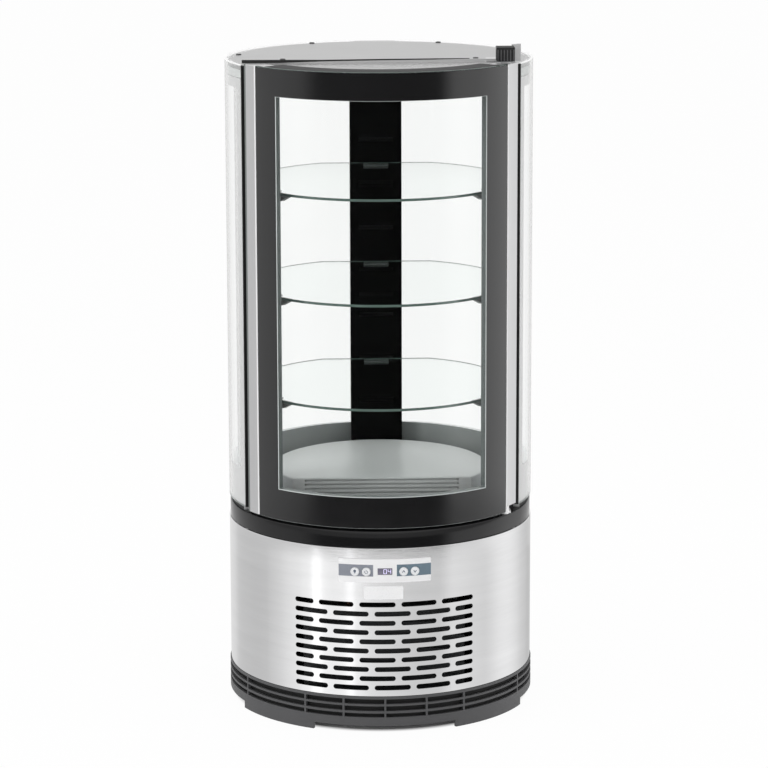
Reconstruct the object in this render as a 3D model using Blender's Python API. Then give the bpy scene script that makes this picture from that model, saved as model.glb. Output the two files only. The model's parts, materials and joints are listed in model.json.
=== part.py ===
"""Round countertop cake display case: a chilled glass cabinet on a steel machine base.

Metres, +Z up. The origin is the middle of the footprint on the counter. The door faces -Y and hangs
on its right side, at +X. Angles along the round walls are degrees from the front, growing towards +X.
"""
from math import acos, ceil, cos, degrees, pi, radians, sin, sqrt

import bmesh
import bpy
from mathutils import Matrix, Vector

# Overall sizes
case_radius = 0.240
glass_step = 1.000
gap = 0.0003
overrun = 0.006
weld = 0.000001
arc_step = 5.0
round_sides = 24
smooth_angle = 30.0

# Skirt with feet and three tiers of air slots
skirt_proud = 0.0015
skirt_wall = 0.005
skirt_top = 0.0576
notch_height = 0.011
foot_centre_angles = (46.0, 135.0)
foot_half_angle = 18.75
skirt_tiers = ((0.0245, 0.0310), (0.0346, 0.0425), (0.0457, 0.0536))
skirt_bar = 0.003
skirt_bar_angles = (0.0, 15.5, 30.75, 62.0, 94.5, 126.0, 157.5, 180.0)

# Base plate under the machine
base_plate_bottom = 0.012
base_plate_thickness = 0.003

# Steel wrap with front and rear air slots
sheet = 0.002
panel_drop = 0.027
slot_rows = 10
slot_first_height = 0.0717
slot_pitch = 0.01473
slot_height = 0.0078
slot_reach_angle = 34.9
slot_angle = 13.4
slot_gap_angle = 2.1
slot_end_sides = 2
full_slots = 4
rear_slot_rows = 4
rear_slot_count = 3
rear_slot_first_height = 0.155
rear_slot_pitch = 0.029

# Power inlet at the back
inlet_height = 0.095
inlet_flange = (0.052, 0.030)
inlet_flange_thickness = 0.0012
inlet_body = (0.031, 0.024)
inlet_depth = 0.024
inlet_socket = (0.024, 0.017)
inlet_socket_depth = 0.018
inlet_pin = (0.002, 0.004)
inlet_pin_length = 0.0125
inlet_pin_spread = 0.007
inlet_pin_drop = 0.002

# Black deck band
band_inset = 0.0015
band_width = 0.034
band_chamfer = 0.0015

# Control bezel, display and buttons
bezel_half_length = 0.0742
bezel_drop = 0.016
bezel_height = 0.037
bezel_proud = 0.0015
bezel_depth = 0.0095
display_half_width = 0.0110
display_drop = 0.0145
display_height = 0.010
display_depth = 0.004
button_radius = 0.0068
button_inner_place = 0.0287
button_outer_place = 0.0464
button_drop = 0.020
button_proud = 0.0011
button_flange = 0.0012
button_flange_thickness = 0.0012
controller_half_width = 0.062
controller_clearance = 0.001

# Compressor in the machine room
compressor_place_share = 0.3542
compressor_radius_share = 0.2583
compressor_height = 0.145
compressor_dome = 0.018
compressor_dome_steps = 3
compressor_foot_margins = (0.026, -0.014)
compressor_foot_plate = 0.003
compressor_foot_radius = 0.011
compressor_foot_height = 0.014
compressor_foot_sides = 12
compressor_stub_radius = 0.005
compressor_stub_rise = 0.012
compressor_stub_place = 0.030

# Condenser with its fan and shroud
condenser_width_share = 0.5208
condenser_front_share = 0.7917
condenser_depth = 0.040
condenser_height = 0.172
condenser_groove = 0.006
condenser_groove_depth = 0.0035
condenser_grooves = 7
shroud_inset = 0.010
shroud_rise = 0.004
shroud_plate = 0.0025
shroud_ring_depth = 0.022
shroud_ring_wall = 0.003
condenser_fan_radius = 0.062
condenser_fan_height = 0.100
fan_tip_clearance = 0.004
fan_blades = 5
fan_blade_angle = 44.0
fan_blade_thickness = 0.0016
fan_pitch_angle = 26.0
fan_hub_share = 0.30
fan_hub_depth = 0.016
fan_shaft_radius = 0.003
condenser_motor_radius = 0.030
condenser_motor_length = 0.045
motor_clearance = 0.002
motor_leg_width = 0.030
motor_leg_thickness = 0.006
motor_foot_depth = 0.034

# Drain tray and refrigerant line
drain_tray_corner_shares = (0.1458, 0.1875)
drain_tray_side_shares = (0.5, 0.4167)
drain_tray_height = 0.028
drain_tray_wall = 0.002
line_radius = 0.003
line_rise = 0.0137
line_cover = 0.012
line_bend_share = 0.35
line_bend_steps = 4

# Insulated deck with the evaporator well
deck_thickness = 0.105
deck_ledge = 0.046
well_depth = 0.085
channel_half_width = 0.034
channel_lap = 0.010
channel_clearance = 0.007
channel_depth = 0.050

# Raised floor pan over the evaporator
pan_lap = 0.010
pan_setback = 0.011
pan_height = 0.051
pan_sheet = 0.0015
pan_slats = 4
pan_slat_height = 0.0032
pan_slat_pitch = 0.0068
pan_slat_rise = 0.025
pan_slat_width_share = 0.7059

# Evaporator coil and fan in the well
coil_width_share = 0.625
coil_front_share = 0.7188
coil_depth = 0.050
coil_height = 0.065
evaporator_fan_radius = 0.034
evaporator_fan_drop = 0.044
evaporator_fan_distance = 0.035
evaporator_motor_radius = 0.018
evaporator_motor_length = 0.034

# Posts, header and sill round the door opening
shelf_inset = 0.036
post_clearance = 0.0025
post_back_angle = 66.0
post_glass_clearance = 0.0023
post_corner_share = 0.85625
seal_plane_share = 0.45
header_depth = 0.010
header_height = 0.025
sill_height = 0.018

# Side glass, rear spine and inner collar
pane_thickness = 0.004
glazing_depth = 0.018
glass_front_angle = 63.0
glass_lift = 0.008
glass_rise = 0.021
glass_pocket_drop = 0.010
spine_half_angle = 9.2
spine_inset = 0.0005
glass_joint_angle = 0.3
collar_inset = 0.027
collar_wall = 0.003
collar_height = 0.071
collar_front_angle = 66.4
collar_flange_inset = 0.004

# Rear air duct
duct_half_width = 0.042
duct_depth = 0.027
duct_back_inset = 0.0008
duct_wall = 0.002
duct_slots = 8
duct_slot_half_width = 0.028
duct_slot_height = 0.006
duct_slot_rise = 0.110
duct_slot_headroom = 0.066

# Ceiling and top cover
ceiling_thickness = 0.0127
cover_inset = 0.0017
cover_thickness = 0.0067
cover_bevel = 0.0025
cover_bevel_share = 0.5

# Light strips behind the posts
led_depth = 0.0055
led_angle = 3.0
led_joint_angle = 0.1
led_rise = 0.025
led_headroom = 0.015

# Glass shelves and their supports
shelf_thickness = 0.004
shelf_count = 3
shelf_first_rise = 0.184
shelf_headroom = 0.172
shelf_duct_clearance = 0.002
clip_tip_angle = 45.0
clip_ramp_angle = 49.5
clip_post_angle = 60.0
clip_back_angle = 64.0
clip_width = 0.010
clip_rim = 0.0005
clip_tip_height = 0.0015
clip_height = 0.009
bracket_half_width = 0.020
bracket_reach = 0.016
bracket_height = 0.009
bracket_nose_height = 0.003

# Door panes, spacer, stiles, rails and seal
door_lift = 0.0046
door_rise = 0.024
door_back_gap = 0.0043
door_outer_angle = 52.8
door_inner_angle = 49.0
door_glazing_depth = 0.018
stile_outer_angle = 60.5
stile_joint_angle = 0.3
stile_depth = 0.025
stile_corner_share = 0.8417
stile_edge_share = 0.7417
bottom_rail_height = 0.0154
top_rail_height = 0.032
spacer_outer_angle = 45.0
spacer_inner_angle = 40.8
spacer_margins = (0.0404, 0.034)
spacer_bar = 0.0078
seal_margin = 0.013
seal_lift = 0.006
seal_rise = 0.003
seal_width = 0.009

# Door hinges
hinge_shares = (0.7917, -0.5542)
pin_radius = 0.003
pin_clearance = 0.0003
pin_reach = 0.0125
barrel_radius = 0.007
barrel_height = 0.0127
lower_plate = 0.003
lower_plate_half_width = 0.010
lower_plate_length = 0.021
arm_lift = 0.0007
arm_thickness = 0.003
arm_half_width = 0.008
arm_nose = 0.009
upper_foot_width = 0.044
upper_foot_depth = 0.024
upright_offset = 0.008
upright_width = 0.014
upright_height = 0.029
upright_slope = 0.005
cap_half_width = 0.014
cap_offset = -0.003
cap_front = 0.014
cap_back = 0.014
cap_height = 0.024
cap_ribs = 5
cap_rib_depth = 0.0015
cap_rib_width = 0.0022

# Radii and places in plan that follow from the case
skirt_radius = case_radius + skirt_proud
band_radius = case_radius - band_inset
band_inner_radius = case_radius - band_width
bezel_radius = case_radius + bezel_proud
bezel_back_radius = bezel_radius - bezel_depth
bezel_half_angle = degrees(bezel_half_length / bezel_radius)
compressor_place = (-compressor_place_share * case_radius, compressor_place_share * case_radius)
compressor_radius = compressor_radius_share * case_radius
condenser_half_width = condenser_width_share * case_radius
condenser_front = condenser_front_share * case_radius
shroud_half_width = condenser_half_width - shroud_inset
well_radius = band_inner_radius - deck_ledge
channel_front = well_radius - channel_lap
channel_back = band_inner_radius - channel_clearance
seal_plane = seal_plane_share * case_radius
pan_radius = well_radius + pan_lap
pan_front = seal_plane - pan_setback
pan_slat_half_width = pan_slat_width_share * pan_radius
coil_half_width = coil_width_share * well_radius
coil_front = coil_front_share * well_radius
evaporator_fan_place = coil_front - coil_depth - evaporator_fan_distance
shelf_radius = case_radius - shelf_inset
post_radius = shelf_radius + post_clearance
post_corner = post_corner_share * case_radius
glass_inner_radius = case_radius - glazing_depth
pane_back = case_radius - pane_thickness
inner_pane_radius = case_radius - door_glazing_depth
collar_radius = case_radius - collar_inset
duct_front = collar_radius - duct_depth
ceiling_radius = pane_back - gap
cover_radius = ceiling_radius - cover_inset
clip_inner_radius = shelf_radius - clip_width
door_back = seal_plane + door_back_gap
stile_inner_radius = case_radius - stile_depth
stile_back_corner = stile_corner_share * case_radius
stile_back_edge = stile_edge_share * case_radius
seal_outer_edge = stile_back_corner - seal_margin
hinge_x = hinge_shares[0] * case_radius
hinge_y = hinge_shares[1] * case_radius
hinge_post = (hinge_x, hinge_y)

# Heights that follow from the machines, the deck over them and the glass
machine_floor = base_plate_bottom + base_plate_thickness + gap
condenser_top = machine_floor + condenser_height
shroud_top = condenser_top + shroud_rise
pot_bottom = machine_floor + compressor_foot_height
pot_top = pot_bottom + compressor_foot_plate + compressor_height
stub_top = pot_top + compressor_stub_rise
line_height = max(stub_top, condenser_top) + line_rise
deck_bottom = line_height + line_cover
deck_top = deck_bottom + deck_thickness
band_top = deck_top
panel_bottom = skirt_top + gap
panel_top = band_top - panel_drop
band_bottom = panel_top + gap
bezel_top = panel_top - bezel_drop
bezel_bottom = bezel_top - bezel_height
display_top = bezel_top - display_drop
display_bottom = display_top - display_height
button_height = bezel_top - button_drop
well_floor = deck_top - well_depth
deck_stand = deck_top + gap
pan_top = deck_top + pan_height
pan_slat_first = deck_top + pan_slat_rise
evaporator_fan_height = deck_top - evaporator_fan_drop
sill_top = deck_top + sill_height
glass_bottom = deck_top + glass_lift
glass_top = glass_step + glass_rise
glass_pocket_top = glass_step - glass_pocket_drop
collar_top = deck_top + collar_height
duct_slot_first = deck_top + duct_slot_rise
duct_slot_pitch = (glass_step - duct_slot_headroom - duct_slot_first) / (duct_slots - 1)
ceiling_bottom = glass_step + gap
ceiling_top = ceiling_bottom + ceiling_thickness
cover_bottom = ceiling_top + gap
cover_top = cover_bottom + cover_thickness
led_bottom = deck_top + led_rise
led_top = glass_step - led_headroom
shelf_first = deck_top + shelf_first_rise
shelf_pitch = (glass_step - shelf_headroom - shelf_first) / (shelf_count - 1)
door_bottom = deck_top + door_lift
door_top = glass_step + door_rise
spacer_bottom = door_bottom + spacer_margins[0]
spacer_top = door_top - spacer_margins[1]
seal_bottom = deck_top + seal_lift
seal_top = glass_step + seal_rise
barrel_top = deck_top + barrel_height
upright_left = hinge_x + upright_offset
upright_right = upright_left + upright_width
upright_top = door_top + upright_height
cap_top = door_top + cap_height

for leftover in list(bpy.data.objects):
    bpy.data.objects.remove(leftover, do_unlink=True)


def surface(name, colour, roughness, metallic=0.0, alpha=1.0):
    """A Principled material in the part's own colour."""
    material = bpy.data.materials.new(name)
    material.use_nodes = True
    shader = material.node_tree.nodes["Principled BSDF"]
    shader.inputs["Base Color"].default_value = (*colour, 1.0)
    shader.inputs["Roughness"].default_value = roughness
    shader.inputs["Metallic"].default_value = metallic
    shader.inputs["Alpha"].default_value = alpha
    return material


steel = surface("brushed_steel", (0.72, 0.72, 0.73), 0.32, 1.0)
aluminium = surface("satin_aluminium", (0.78, 0.79, 0.80), 0.35, 1.0)
skirt_grey = surface("skirt_grey", (0.24, 0.24, 0.24), 0.5)
black_gloss = surface("black_gloss", (0.012, 0.012, 0.013), 0.08)
black_plastic = surface("black_plastic", (0.02, 0.02, 0.02), 0.45)
black_rubber = surface("black_rubber", (0.015, 0.015, 0.015), 0.7)
clear_glass = surface("clear_glass", (0.86, 0.93, 0.90), 0.02, alpha=0.3)
painted_grey = surface("painted_grey", (0.42, 0.43, 0.43), 0.4)
deck_white = surface("deck_white", (0.75, 0.76, 0.76), 0.6)
copper = surface("copper", (0.72, 0.36, 0.22), 0.3, 1.0)
led_white = surface("led_white", (0.95, 0.96, 1.0), 0.3)


def polar(radius, angle):
    """The point at this radius and angle from the front, in plan."""
    return (radius * sin(radians(angle)), -radius * cos(radians(angle)))


def arc(radius, start, end):
    """Points along an arc in plan, about one per arc_step."""
    steps = max(1, ceil(abs(end - start) / arc_step))
    return [polar(radius, start + (end - start) * i / steps) for i in range(steps + 1)]


def chord_angle(radius, depth):
    """The angle at which a circle of this radius crosses the plane y = -depth."""
    return degrees(acos(depth / radius))


def mirrored(outline):
    """The outline on the other side of the case, still running the same way round."""
    return [(-x, y) for x, y in reversed(outline)]


def finish(bm, name, material=None):
    """Turns a bmesh into a smooth-shaded object with one material."""
    bmesh.ops.recalc_face_normals(bm, faces=bm.faces)
    mesh = bpy.data.meshes.new(name)
    bm.to_mesh(mesh)
    bm.free()
    mesh.shade_smooth()
    mesh.set_sharp_from_angle(angle=radians(smooth_angle))
    if material is not None:
        mesh.materials.append(material)
    made = bpy.data.objects.new(name, mesh)
    bpy.context.scene.collection.objects.link(made)
    return made


def add_prism(bm, outline, low, high):
    """Adds an outline in plan, extruded between two heights."""
    base = bm.faces.new([bm.verts.new((x, y, low)) for x, y in outline])
    grown = bmesh.ops.extrude_face_region(bm, geom=[base])["geom"]
    lifted = [v for v in grown if isinstance(v, bmesh.types.BMVert)]
    bmesh.ops.translate(bm, verts=lifted, vec=(0, 0, high - low))


def prism(name, outline, low, high, material=None):
    bm = bmesh.new()
    add_prism(bm, outline, low, high)
    return finish(bm, name, material)


def add_box(bm, low, high):
    outline = [(low[0], low[1]), (high[0], low[1]), (high[0], high[1]), (low[0], high[1])]
    add_prism(bm, outline, low[2], high[2])


def box(name, low, high, material=None):
    bm = bmesh.new()
    add_box(bm, low, high)
    return finish(bm, name, material)


def cross_prism(name, outline, half_width, material):
    """An outline in (y, z), extruded both ways along X."""
    bm = bmesh.new()
    base = bm.faces.new([bm.verts.new((-half_width, y, z)) for y, z in outline])
    grown = bmesh.ops.extrude_face_region(bm, geom=[base])["geom"]
    moved = [v for v in grown if isinstance(v, bmesh.types.BMVert)]
    bmesh.ops.translate(bm, verts=moved, vec=(2 * half_width, 0, 0))
    return finish(bm, name, material)


def turned(name, profile, material=None, start=0.0, end=360.0, sides=None):
    """Spins a closed (radius, height) profile about Z, all the way round or along a sector."""
    bm = bmesh.new()
    steps = sides or max(1, ceil((end - start) / arc_step))
    corners = [bm.verts.new((*polar(r, start), z)) for r, z in profile]
    if end - start < 360.0:
        swept = [bm.faces.new(corners)]
    else:
        swept = [bm.edges.new(pair) for pair in zip(corners, corners[1:] + corners[:1])]
    bmesh.ops.spin(bm, geom=corners + swept, cent=(0, 0, 0), axis=(0, 0, 1),
                   angle=radians(end - start), steps=steps)
    bmesh.ops.remove_doubles(bm, verts=bm.verts, dist=weld)
    bmesh.ops.dissolve_degenerate(bm, edges=bm.edges, dist=weld)
    return finish(bm, name, material)


def ring(inner, outer, low, high):
    """The profile of a plain ring wall."""
    return [(inner, low), (outer, low), (outer, high), (inner, high)]


def add_wedge(bm, inner, outer, start, end, low, high):
    """Adds a block between two angles, wide enough to cut a round wall."""
    spread = outer / cos(radians((end - start) / 2))
    outline = [polar(inner, start), polar(spread, start), polar(spread, (start + end) / 2),
               polar(spread, end), polar(inner, end)]
    add_prism(bm, outline, low, high)


def add_rod(bm, radius, start, end, sides=round_sides):
    """Adds a round bar between two points."""
    along = Vector(end) - Vector(start)
    place = Matrix.Translation((Vector(start) + Vector(end)) / 2)
    turn = along.to_track_quat("Z", "Y").to_matrix().to_4x4()
    bmesh.ops.create_cone(bm, cap_ends=True, segments=sides, radius1=radius, radius2=radius,
                          depth=along.length, matrix=place @ turn)


def rod(name, radius, start, end, material=None, sides=round_sides):
    bm = bmesh.new()
    add_rod(bm, radius, start, end, sides)
    return finish(bm, name, material)


def boolean(target, tool, operation):
    tool.hide_render = True
    tool.display_type = "WIRE"
    modifier = target.modifiers.new(operation.lower(), "BOOLEAN")
    modifier.operation = operation
    modifier.solver = "EXACT"
    modifier.object = tool


def cut(target, tool):
    boolean(target, tool, "DIFFERENCE")


def fuse(target, tool):
    boolean(target, tool, "UNION")


def make_skirt():
    """The plastic ring on the counter: four feet, and air slots between thin bars."""
    inner = skirt_radius - skirt_wall
    skirt = turned("base_skirt", ring(inner, skirt_radius, 0, skirt_top), skirt_grey)
    bm = bmesh.new()
    feet = sorted([*foot_centre_angles, *[360.0 - angle for angle in foot_centre_angles]])
    for left, right in zip([feet[-1] - 360.0, *feet], feet):
        add_wedge(bm, inner - overrun, skirt_radius + overrun, left + foot_half_angle, right - foot_half_angle,
                  -overrun, notch_height)
    bar_angle = degrees(skirt_bar / skirt_radius) / 2
    for left, right in zip(skirt_bar_angles, skirt_bar_angles[1:]):
        for start, end in ((left, right), (-right, -left)):
            for low, high in skirt_tiers:
                add_wedge(bm, inner - overrun, skirt_radius + overrun, start + bar_angle, end - bar_angle,
                          low, high)
    cut(skirt, finish(bm, "skirt_cutter"))


def add_slot(bm, start, end, height):
    """Adds a round-ended slot cutter through the steel wrap."""
    half = slot_height / 2
    cap_angle = degrees(half / case_radius)
    outline = []
    for middle, first in ((end - cap_angle, -90.0), (start + cap_angle, 90.0)):
        for i in range(slot_end_sides + 1):
            lean = radians(first + 180.0 * i / slot_end_sides)
            outline.append((middle + cap_angle * cos(lean), height + half * sin(lean)))
    inside = case_radius - sheet - overrun
    base = bm.faces.new([bm.verts.new((*polar(inside, a), z)) for a, z in outline])
    grown = bmesh.ops.extrude_face_region(bm, geom=[base])["geom"]
    for vert in grown:
        if isinstance(vert, bmesh.types.BMVert):
            vert.co.xy *= (case_radius + overrun) / inside


def make_panel():
    """The rolled steel wrap: staggered front slots, rear slots, and holes for controls and inlet."""
    panel = turned("body_panel", ring(case_radius - sheet, case_radius, panel_bottom, panel_top), steel)
    bm = bmesh.new()
    pitch = slot_angle + slot_gap_angle
    short = 2 * slot_reach_angle - full_slots * pitch
    for row in range(slot_rows):
        widths = full_slots * [slot_angle]
        widths.insert(0 if row % 2 else full_slots, short)
        start = -slot_reach_angle
        for width in widths:
            add_slot(bm, start, start + width, slot_first_height + row * slot_pitch)
            start += width + slot_gap_angle
    for row in range(rear_slot_rows):
        for column in range(rear_slot_count):
            start = 180.0 + (column - rear_slot_count / 2) * pitch + slot_gap_angle / 2
            add_slot(bm, start, start + slot_angle, rear_slot_first_height + row * rear_slot_pitch)
    joint = degrees(gap / case_radius)
    add_wedge(bm, bezel_back_radius, case_radius + overrun, -bezel_half_angle - joint,
              bezel_half_angle + joint, bezel_bottom - gap, bezel_top + gap)
    half = [side / 2 + gap for side in inlet_body]
    add_box(bm, (-half[0], pane_back, inlet_height - half[1]),
            (half[0], case_radius + overrun, inlet_height + half[1]))
    cut(panel, finish(bm, "panel_cutter"))


def make_inlet():
    """The power inlet at the back: a flanged socket with three blades."""
    face = case_radius + gap + inlet_flange_thickness
    half = [side / 2 for side in inlet_flange]
    inlet = box("power_inlet", (-half[0], face - inlet_flange_thickness, inlet_height - half[1]),
                (half[0], face, inlet_height + half[1]), black_plastic)
    half = [side / 2 for side in inlet_body]
    fuse(inlet, box("inlet_body", (-half[0], face - inlet_depth, inlet_height - half[1]),
                    (half[0], face - inlet_flange_thickness / 2, inlet_height + half[1])))
    half = [side / 2 for side in inlet_socket]
    floor = face - inlet_socket_depth
    cut(inlet, box("inlet_socket", (-half[0], floor, inlet_height - half[1]),
                   (half[0], face + overrun, inlet_height + half[1])))
    bm = bmesh.new()
    half = [side / 2 for side in inlet_pin]
    for x, z in ((-inlet_pin_spread, -inlet_pin_drop), (inlet_pin_spread, -inlet_pin_drop),
                 (0, inlet_pin_drop)):
        z += inlet_height
        add_box(bm, (x - half[0], (floor + face - inlet_depth) / 2, z - half[1]),
                (x + half[0], floor + inlet_pin_length, z + half[1]))
    fuse(inlet, finish(bm, "inlet_pins"))


def make_base():
    """The base plate and the black band on top of the steel."""
    radius = skirt_radius - skirt_wall - gap
    high = base_plate_bottom + base_plate_thickness
    turned("base_plate", [(0, base_plate_bottom), (radius, base_plate_bottom), (radius, high), (0, high)],
           painted_grey)
    turned("deck_band", [(band_inner_radius, band_bottom), (band_radius, band_bottom),
                         (band_radius, band_top - band_chamfer), (band_radius - band_chamfer, band_top),
                         (band_inner_radius, band_top)], black_gloss)


def make_controls():
    """The bezel, its display and four push buttons, and the controller behind them."""
    bezel = turned("control_bezel", ring(bezel_back_radius, bezel_radius, bezel_bottom, bezel_top),
                   aluminium, -bezel_half_angle, bezel_half_angle)
    front = bezel_radius + overrun
    back = bezel_back_radius * cos(radians(bezel_half_angle))
    cutter = bmesh.new()
    add_box(cutter, (-display_half_width - gap, -front, display_bottom - gap),
            (display_half_width + gap, -back, display_top + gap))
    box("display_lens", (-display_half_width, -bezel_radius, display_bottom),
        (display_half_width, display_depth - bezel_radius, display_top), black_gloss)
    flange = button_radius + button_flange
    face = bezel_radius + button_proud
    neck = face - sqrt((bezel_back_radius - gap) ** 2 - flange ** 2) + gap
    places = {"lamp_button": -button_outer_place, "power_button": -button_inner_place,
              "up_button": button_inner_place, "down_button": button_outer_place}
    for name, place in places.items():
        angle = degrees(place / bezel_radius)
        add_rod(cutter, button_radius + gap, (*polar(back, angle), button_height),
                (*polar(front, angle), button_height))
        button = turned(name, [(0, 0), (button_radius, 0), (button_radius, neck), (flange, neck),
                               (flange, neck + button_flange_thickness), (0, neck + button_flange_thickness)],
                        black_plastic, sides=round_sides)
        button.location = (*polar(face, angle), button_height)
        button.rotation_euler = (-pi / 2, 0, radians(angle))
    cut(bezel, finish(cutter, "bezel_cutter"))
    seat = sqrt(bezel_back_radius ** 2 - controller_half_width ** 2) - gap
    box("controller_box", (-controller_half_width, -seat, bezel_bottom),
        (controller_half_width, -band_inner_radius - controller_clearance, bezel_top), black_plastic)


def make_compressor():
    """The sealed compressor pot on its foot plate and four rubber feet."""
    x, y = compressor_place
    plate_top = pot_bottom + compressor_foot_plate
    low = plate_top - compressor_foot_plate / 2
    shape = [(0, low), (compressor_radius - compressor_dome, low), (compressor_radius, low + compressor_dome)]
    for i in range(compressor_dome_steps + 1):
        lean = pi / 2 * i / compressor_dome_steps
        shape.append((compressor_radius - compressor_dome * (1 - cos(lean)),
                      pot_top - compressor_dome * (1 - sin(lean))))
    shape.append((0, pot_top))
    pot = turned("compressor", shape, black_plastic, sides=round_sides)
    pot.location = (x, y, 0)
    half = [compressor_radius + margin / 2 for margin in compressor_foot_margins]
    fuse(pot, box("compressor_plate", (x - half[0], y - half[1], pot_bottom),
                  (x + half[0], y + half[1], plate_top)))
    bm = bmesh.new()
    inset = compressor_foot_radius
    for side in (-1, 1):
        for end in (-1, 1):
            at = (x + side * (half[0] - inset), y + end * (half[1] - inset))
            add_rod(bm, compressor_foot_radius, (*at, machine_floor), (*at, low), compressor_foot_sides)
    fuse(pot, finish(bm, "compressor_feet"))
    at = (x + compressor_stub_place, y)
    fuse(pot, rod("compressor_stub", compressor_stub_radius, (*at, pot_top - compressor_dome),
                  (*at, stub_top), sides=compressor_foot_sides))


def make_fan(name, radius, centre):
    """A bladed fan that turns about Y, with its hub bored for the motor shaft."""
    hub = radius * fan_hub_share
    half_depth = fan_hub_depth / 2
    fan = turned(name, ring(fan_shaft_radius + gap, hub, -half_depth, half_depth), black_plastic,
                 sides=round_sides)
    lean = radians(fan_pitch_angle)
    thick = fan_blade_thickness / 2
    bm = bmesh.new()
    for blade in range(fan_blades):
        turn = Matrix.Rotation(2 * pi * blade / fan_blades, 4, "Z")
        loops = []
        for r in ((hub + fan_shaft_radius) / 2, (hub + radius) / 2, radius):
            width = min(r * radians(fan_blade_angle / 2), half_depth / sin(lean) - 2 * thick)
            reach = sqrt(max(r ** 2 - (width * cos(lean)) ** 2, (r / 2) ** 2))
            along = Vector((0, cos(lean), sin(lean))) * width
            across = Vector((0, -sin(lean), cos(lean))) * thick
            middle = Vector((reach, 0, 0))
            corners = (middle - along - across, middle + along - across, middle + along + across,
                       middle - along + across)
            loops.append([bm.verts.new(turn @ corner) for corner in corners])
        bm.faces.new(loops[0])
        bm.faces.new(loops[-1])
        for first, second in zip(loops, loops[1:]):
            for i in range(4):
                bm.faces.new((first[i], first[(i + 1) % 4], second[(i + 1) % 4], second[i]))
    blades = finish(bm, name + "_blades")
    fuse(fan, blades)
    for made in (fan, blades):
        made.location = centre
        made.rotation_euler = (-pi / 2, 0, 0)


def make_motor(name, radius, length, centre, floor, material):
    """A fan motor on a bent leg, with its shaft in the fan's hub."""
    x, y, z = centre
    front = y + fan_hub_depth / 2 + motor_clearance
    middle = front + length / 2
    motor = rod(name, radius, (x, front, z), (x, front + length, z), material)
    fuse(motor, rod(name + "_shaft", fan_shaft_radius, (x, y - fan_hub_depth / 2, z), (x, middle, z)))
    half = motor_leg_width / 2
    thick = motor_leg_thickness / 2
    fuse(motor, box(name + "_leg", (x - half, middle - thick, floor), (x + half, middle + thick, z)))
    reach = motor_foot_depth / 2
    fuse(motor, box(name + "_foot", (x - half - thick, middle - reach, floor),
                    (x + half + thick, middle + reach, floor + motor_leg_thickness)))


def make_condenser():
    """The condenser behind the front slots, its shroud, fan and motor."""
    front = -condenser_front
    back = front + condenser_depth
    coil = box("condenser_coil", (-condenser_half_width, front, machine_floor),
               (condenser_half_width, back, condenser_top), aluminium)
    bm = bmesh.new()
    for i in range(condenser_grooves):
        middle = machine_floor + condenser_height * (i + 1) / (condenser_grooves + 1)
        add_box(bm, (-condenser_half_width - overrun, front - overrun, middle - condenser_groove / 2),
                (condenser_half_width + overrun, front + condenser_groove_depth, middle + condenser_groove / 2))
    cut(coil, finish(bm, "condenser_cutter"))

    near = back + gap
    far = near + shroud_ring_depth
    hole = condenser_fan_radius + fan_tip_clearance
    shroud = box("fan_shroud", (-shroud_half_width, near, machine_floor),
                 (shroud_half_width, near + shroud_plate, shroud_top), painted_grey)
    fuse(shroud, rod("shroud_ring", hole + shroud_ring_wall, (0, near + shroud_plate / 2, condenser_fan_height),
                     (0, far, condenser_fan_height), sides=2 * round_sides))
    cut(shroud, rod("shroud_hole", hole, (0, near - overrun, condenser_fan_height),
                    (0, far + overrun, condenser_fan_height), sides=2 * round_sides))

    centre = (0, (near + far) / 2, condenser_fan_height)
    make_fan("condenser_fan", condenser_fan_radius, centre)
    make_motor("fan_motor", condenser_motor_radius, condenser_motor_length, centre, machine_floor, steel)


def make_drain_tray():
    x, y = [share * case_radius for share in drain_tray_corner_shares]
    wide, deep = [share * case_radius for share in drain_tray_side_shares]
    high = drain_tray_height
    wall = drain_tray_wall
    tray = box("drain_tray", (x, y, machine_floor), (x + wide, y + deep, machine_floor + high), black_plastic)
    cut(tray, box("tray_hollow", (x + wall, y + wall, machine_floor + wall),
                  (x + wide - wall, y + deep - wall, machine_floor + high + overrun)))


def make_refrigerant_line():
    """The copper pipe from the compressor over to the condenser, rounded at its corners."""
    x = compressor_place[0] + compressor_stub_place
    y = compressor_place[1]
    start = stub_top + gap
    end_y = condenser_depth / 2 - condenser_front
    corners = [(x, y, start), (x, y, line_height), (x, end_y, line_height),
               (x, end_y, condenser_top + gap)]
    route = [Vector(corners[0])]
    for before, corner, after in zip(corners, corners[1:], corners[2:]):
        corner = Vector(corner)
        reach = min((corner - Vector(end)).length for end in (before, after)) * (1 - line_bend_share)
        first = corner + (Vector(before) - corner).normalized() * reach
        last = corner + (Vector(after) - corner).normalized() * reach
        for i in range(line_bend_steps + 1):
            share = i / line_bend_steps
            route.append(first.lerp(corner, share).lerp(corner.lerp(last, share), share))
    route.append(Vector(corners[-1]))
    curve = bpy.data.curves.new("refrigerant_line", "CURVE")
    curve.dimensions = "3D"
    curve.bevel_depth = line_radius
    curve.bevel_resolution = 2
    curve.use_fill_caps = True
    spline = curve.splines.new("POLY")
    spline.points.add(len(route) - 1)
    for point, place in zip(spline.points, route):
        point.co = (*place, 1.0)
    curve.materials.append(copper)
    line = bpy.data.objects.new("refrigerant_line", curve)
    bpy.context.scene.collection.objects.link(line)


def chord_outline(radius, depth):
    """A circle cut off flat at y = -depth, running round by the back."""
    side = chord_angle(radius, depth)
    return arc(radius, side, 360.0 - side)


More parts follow.
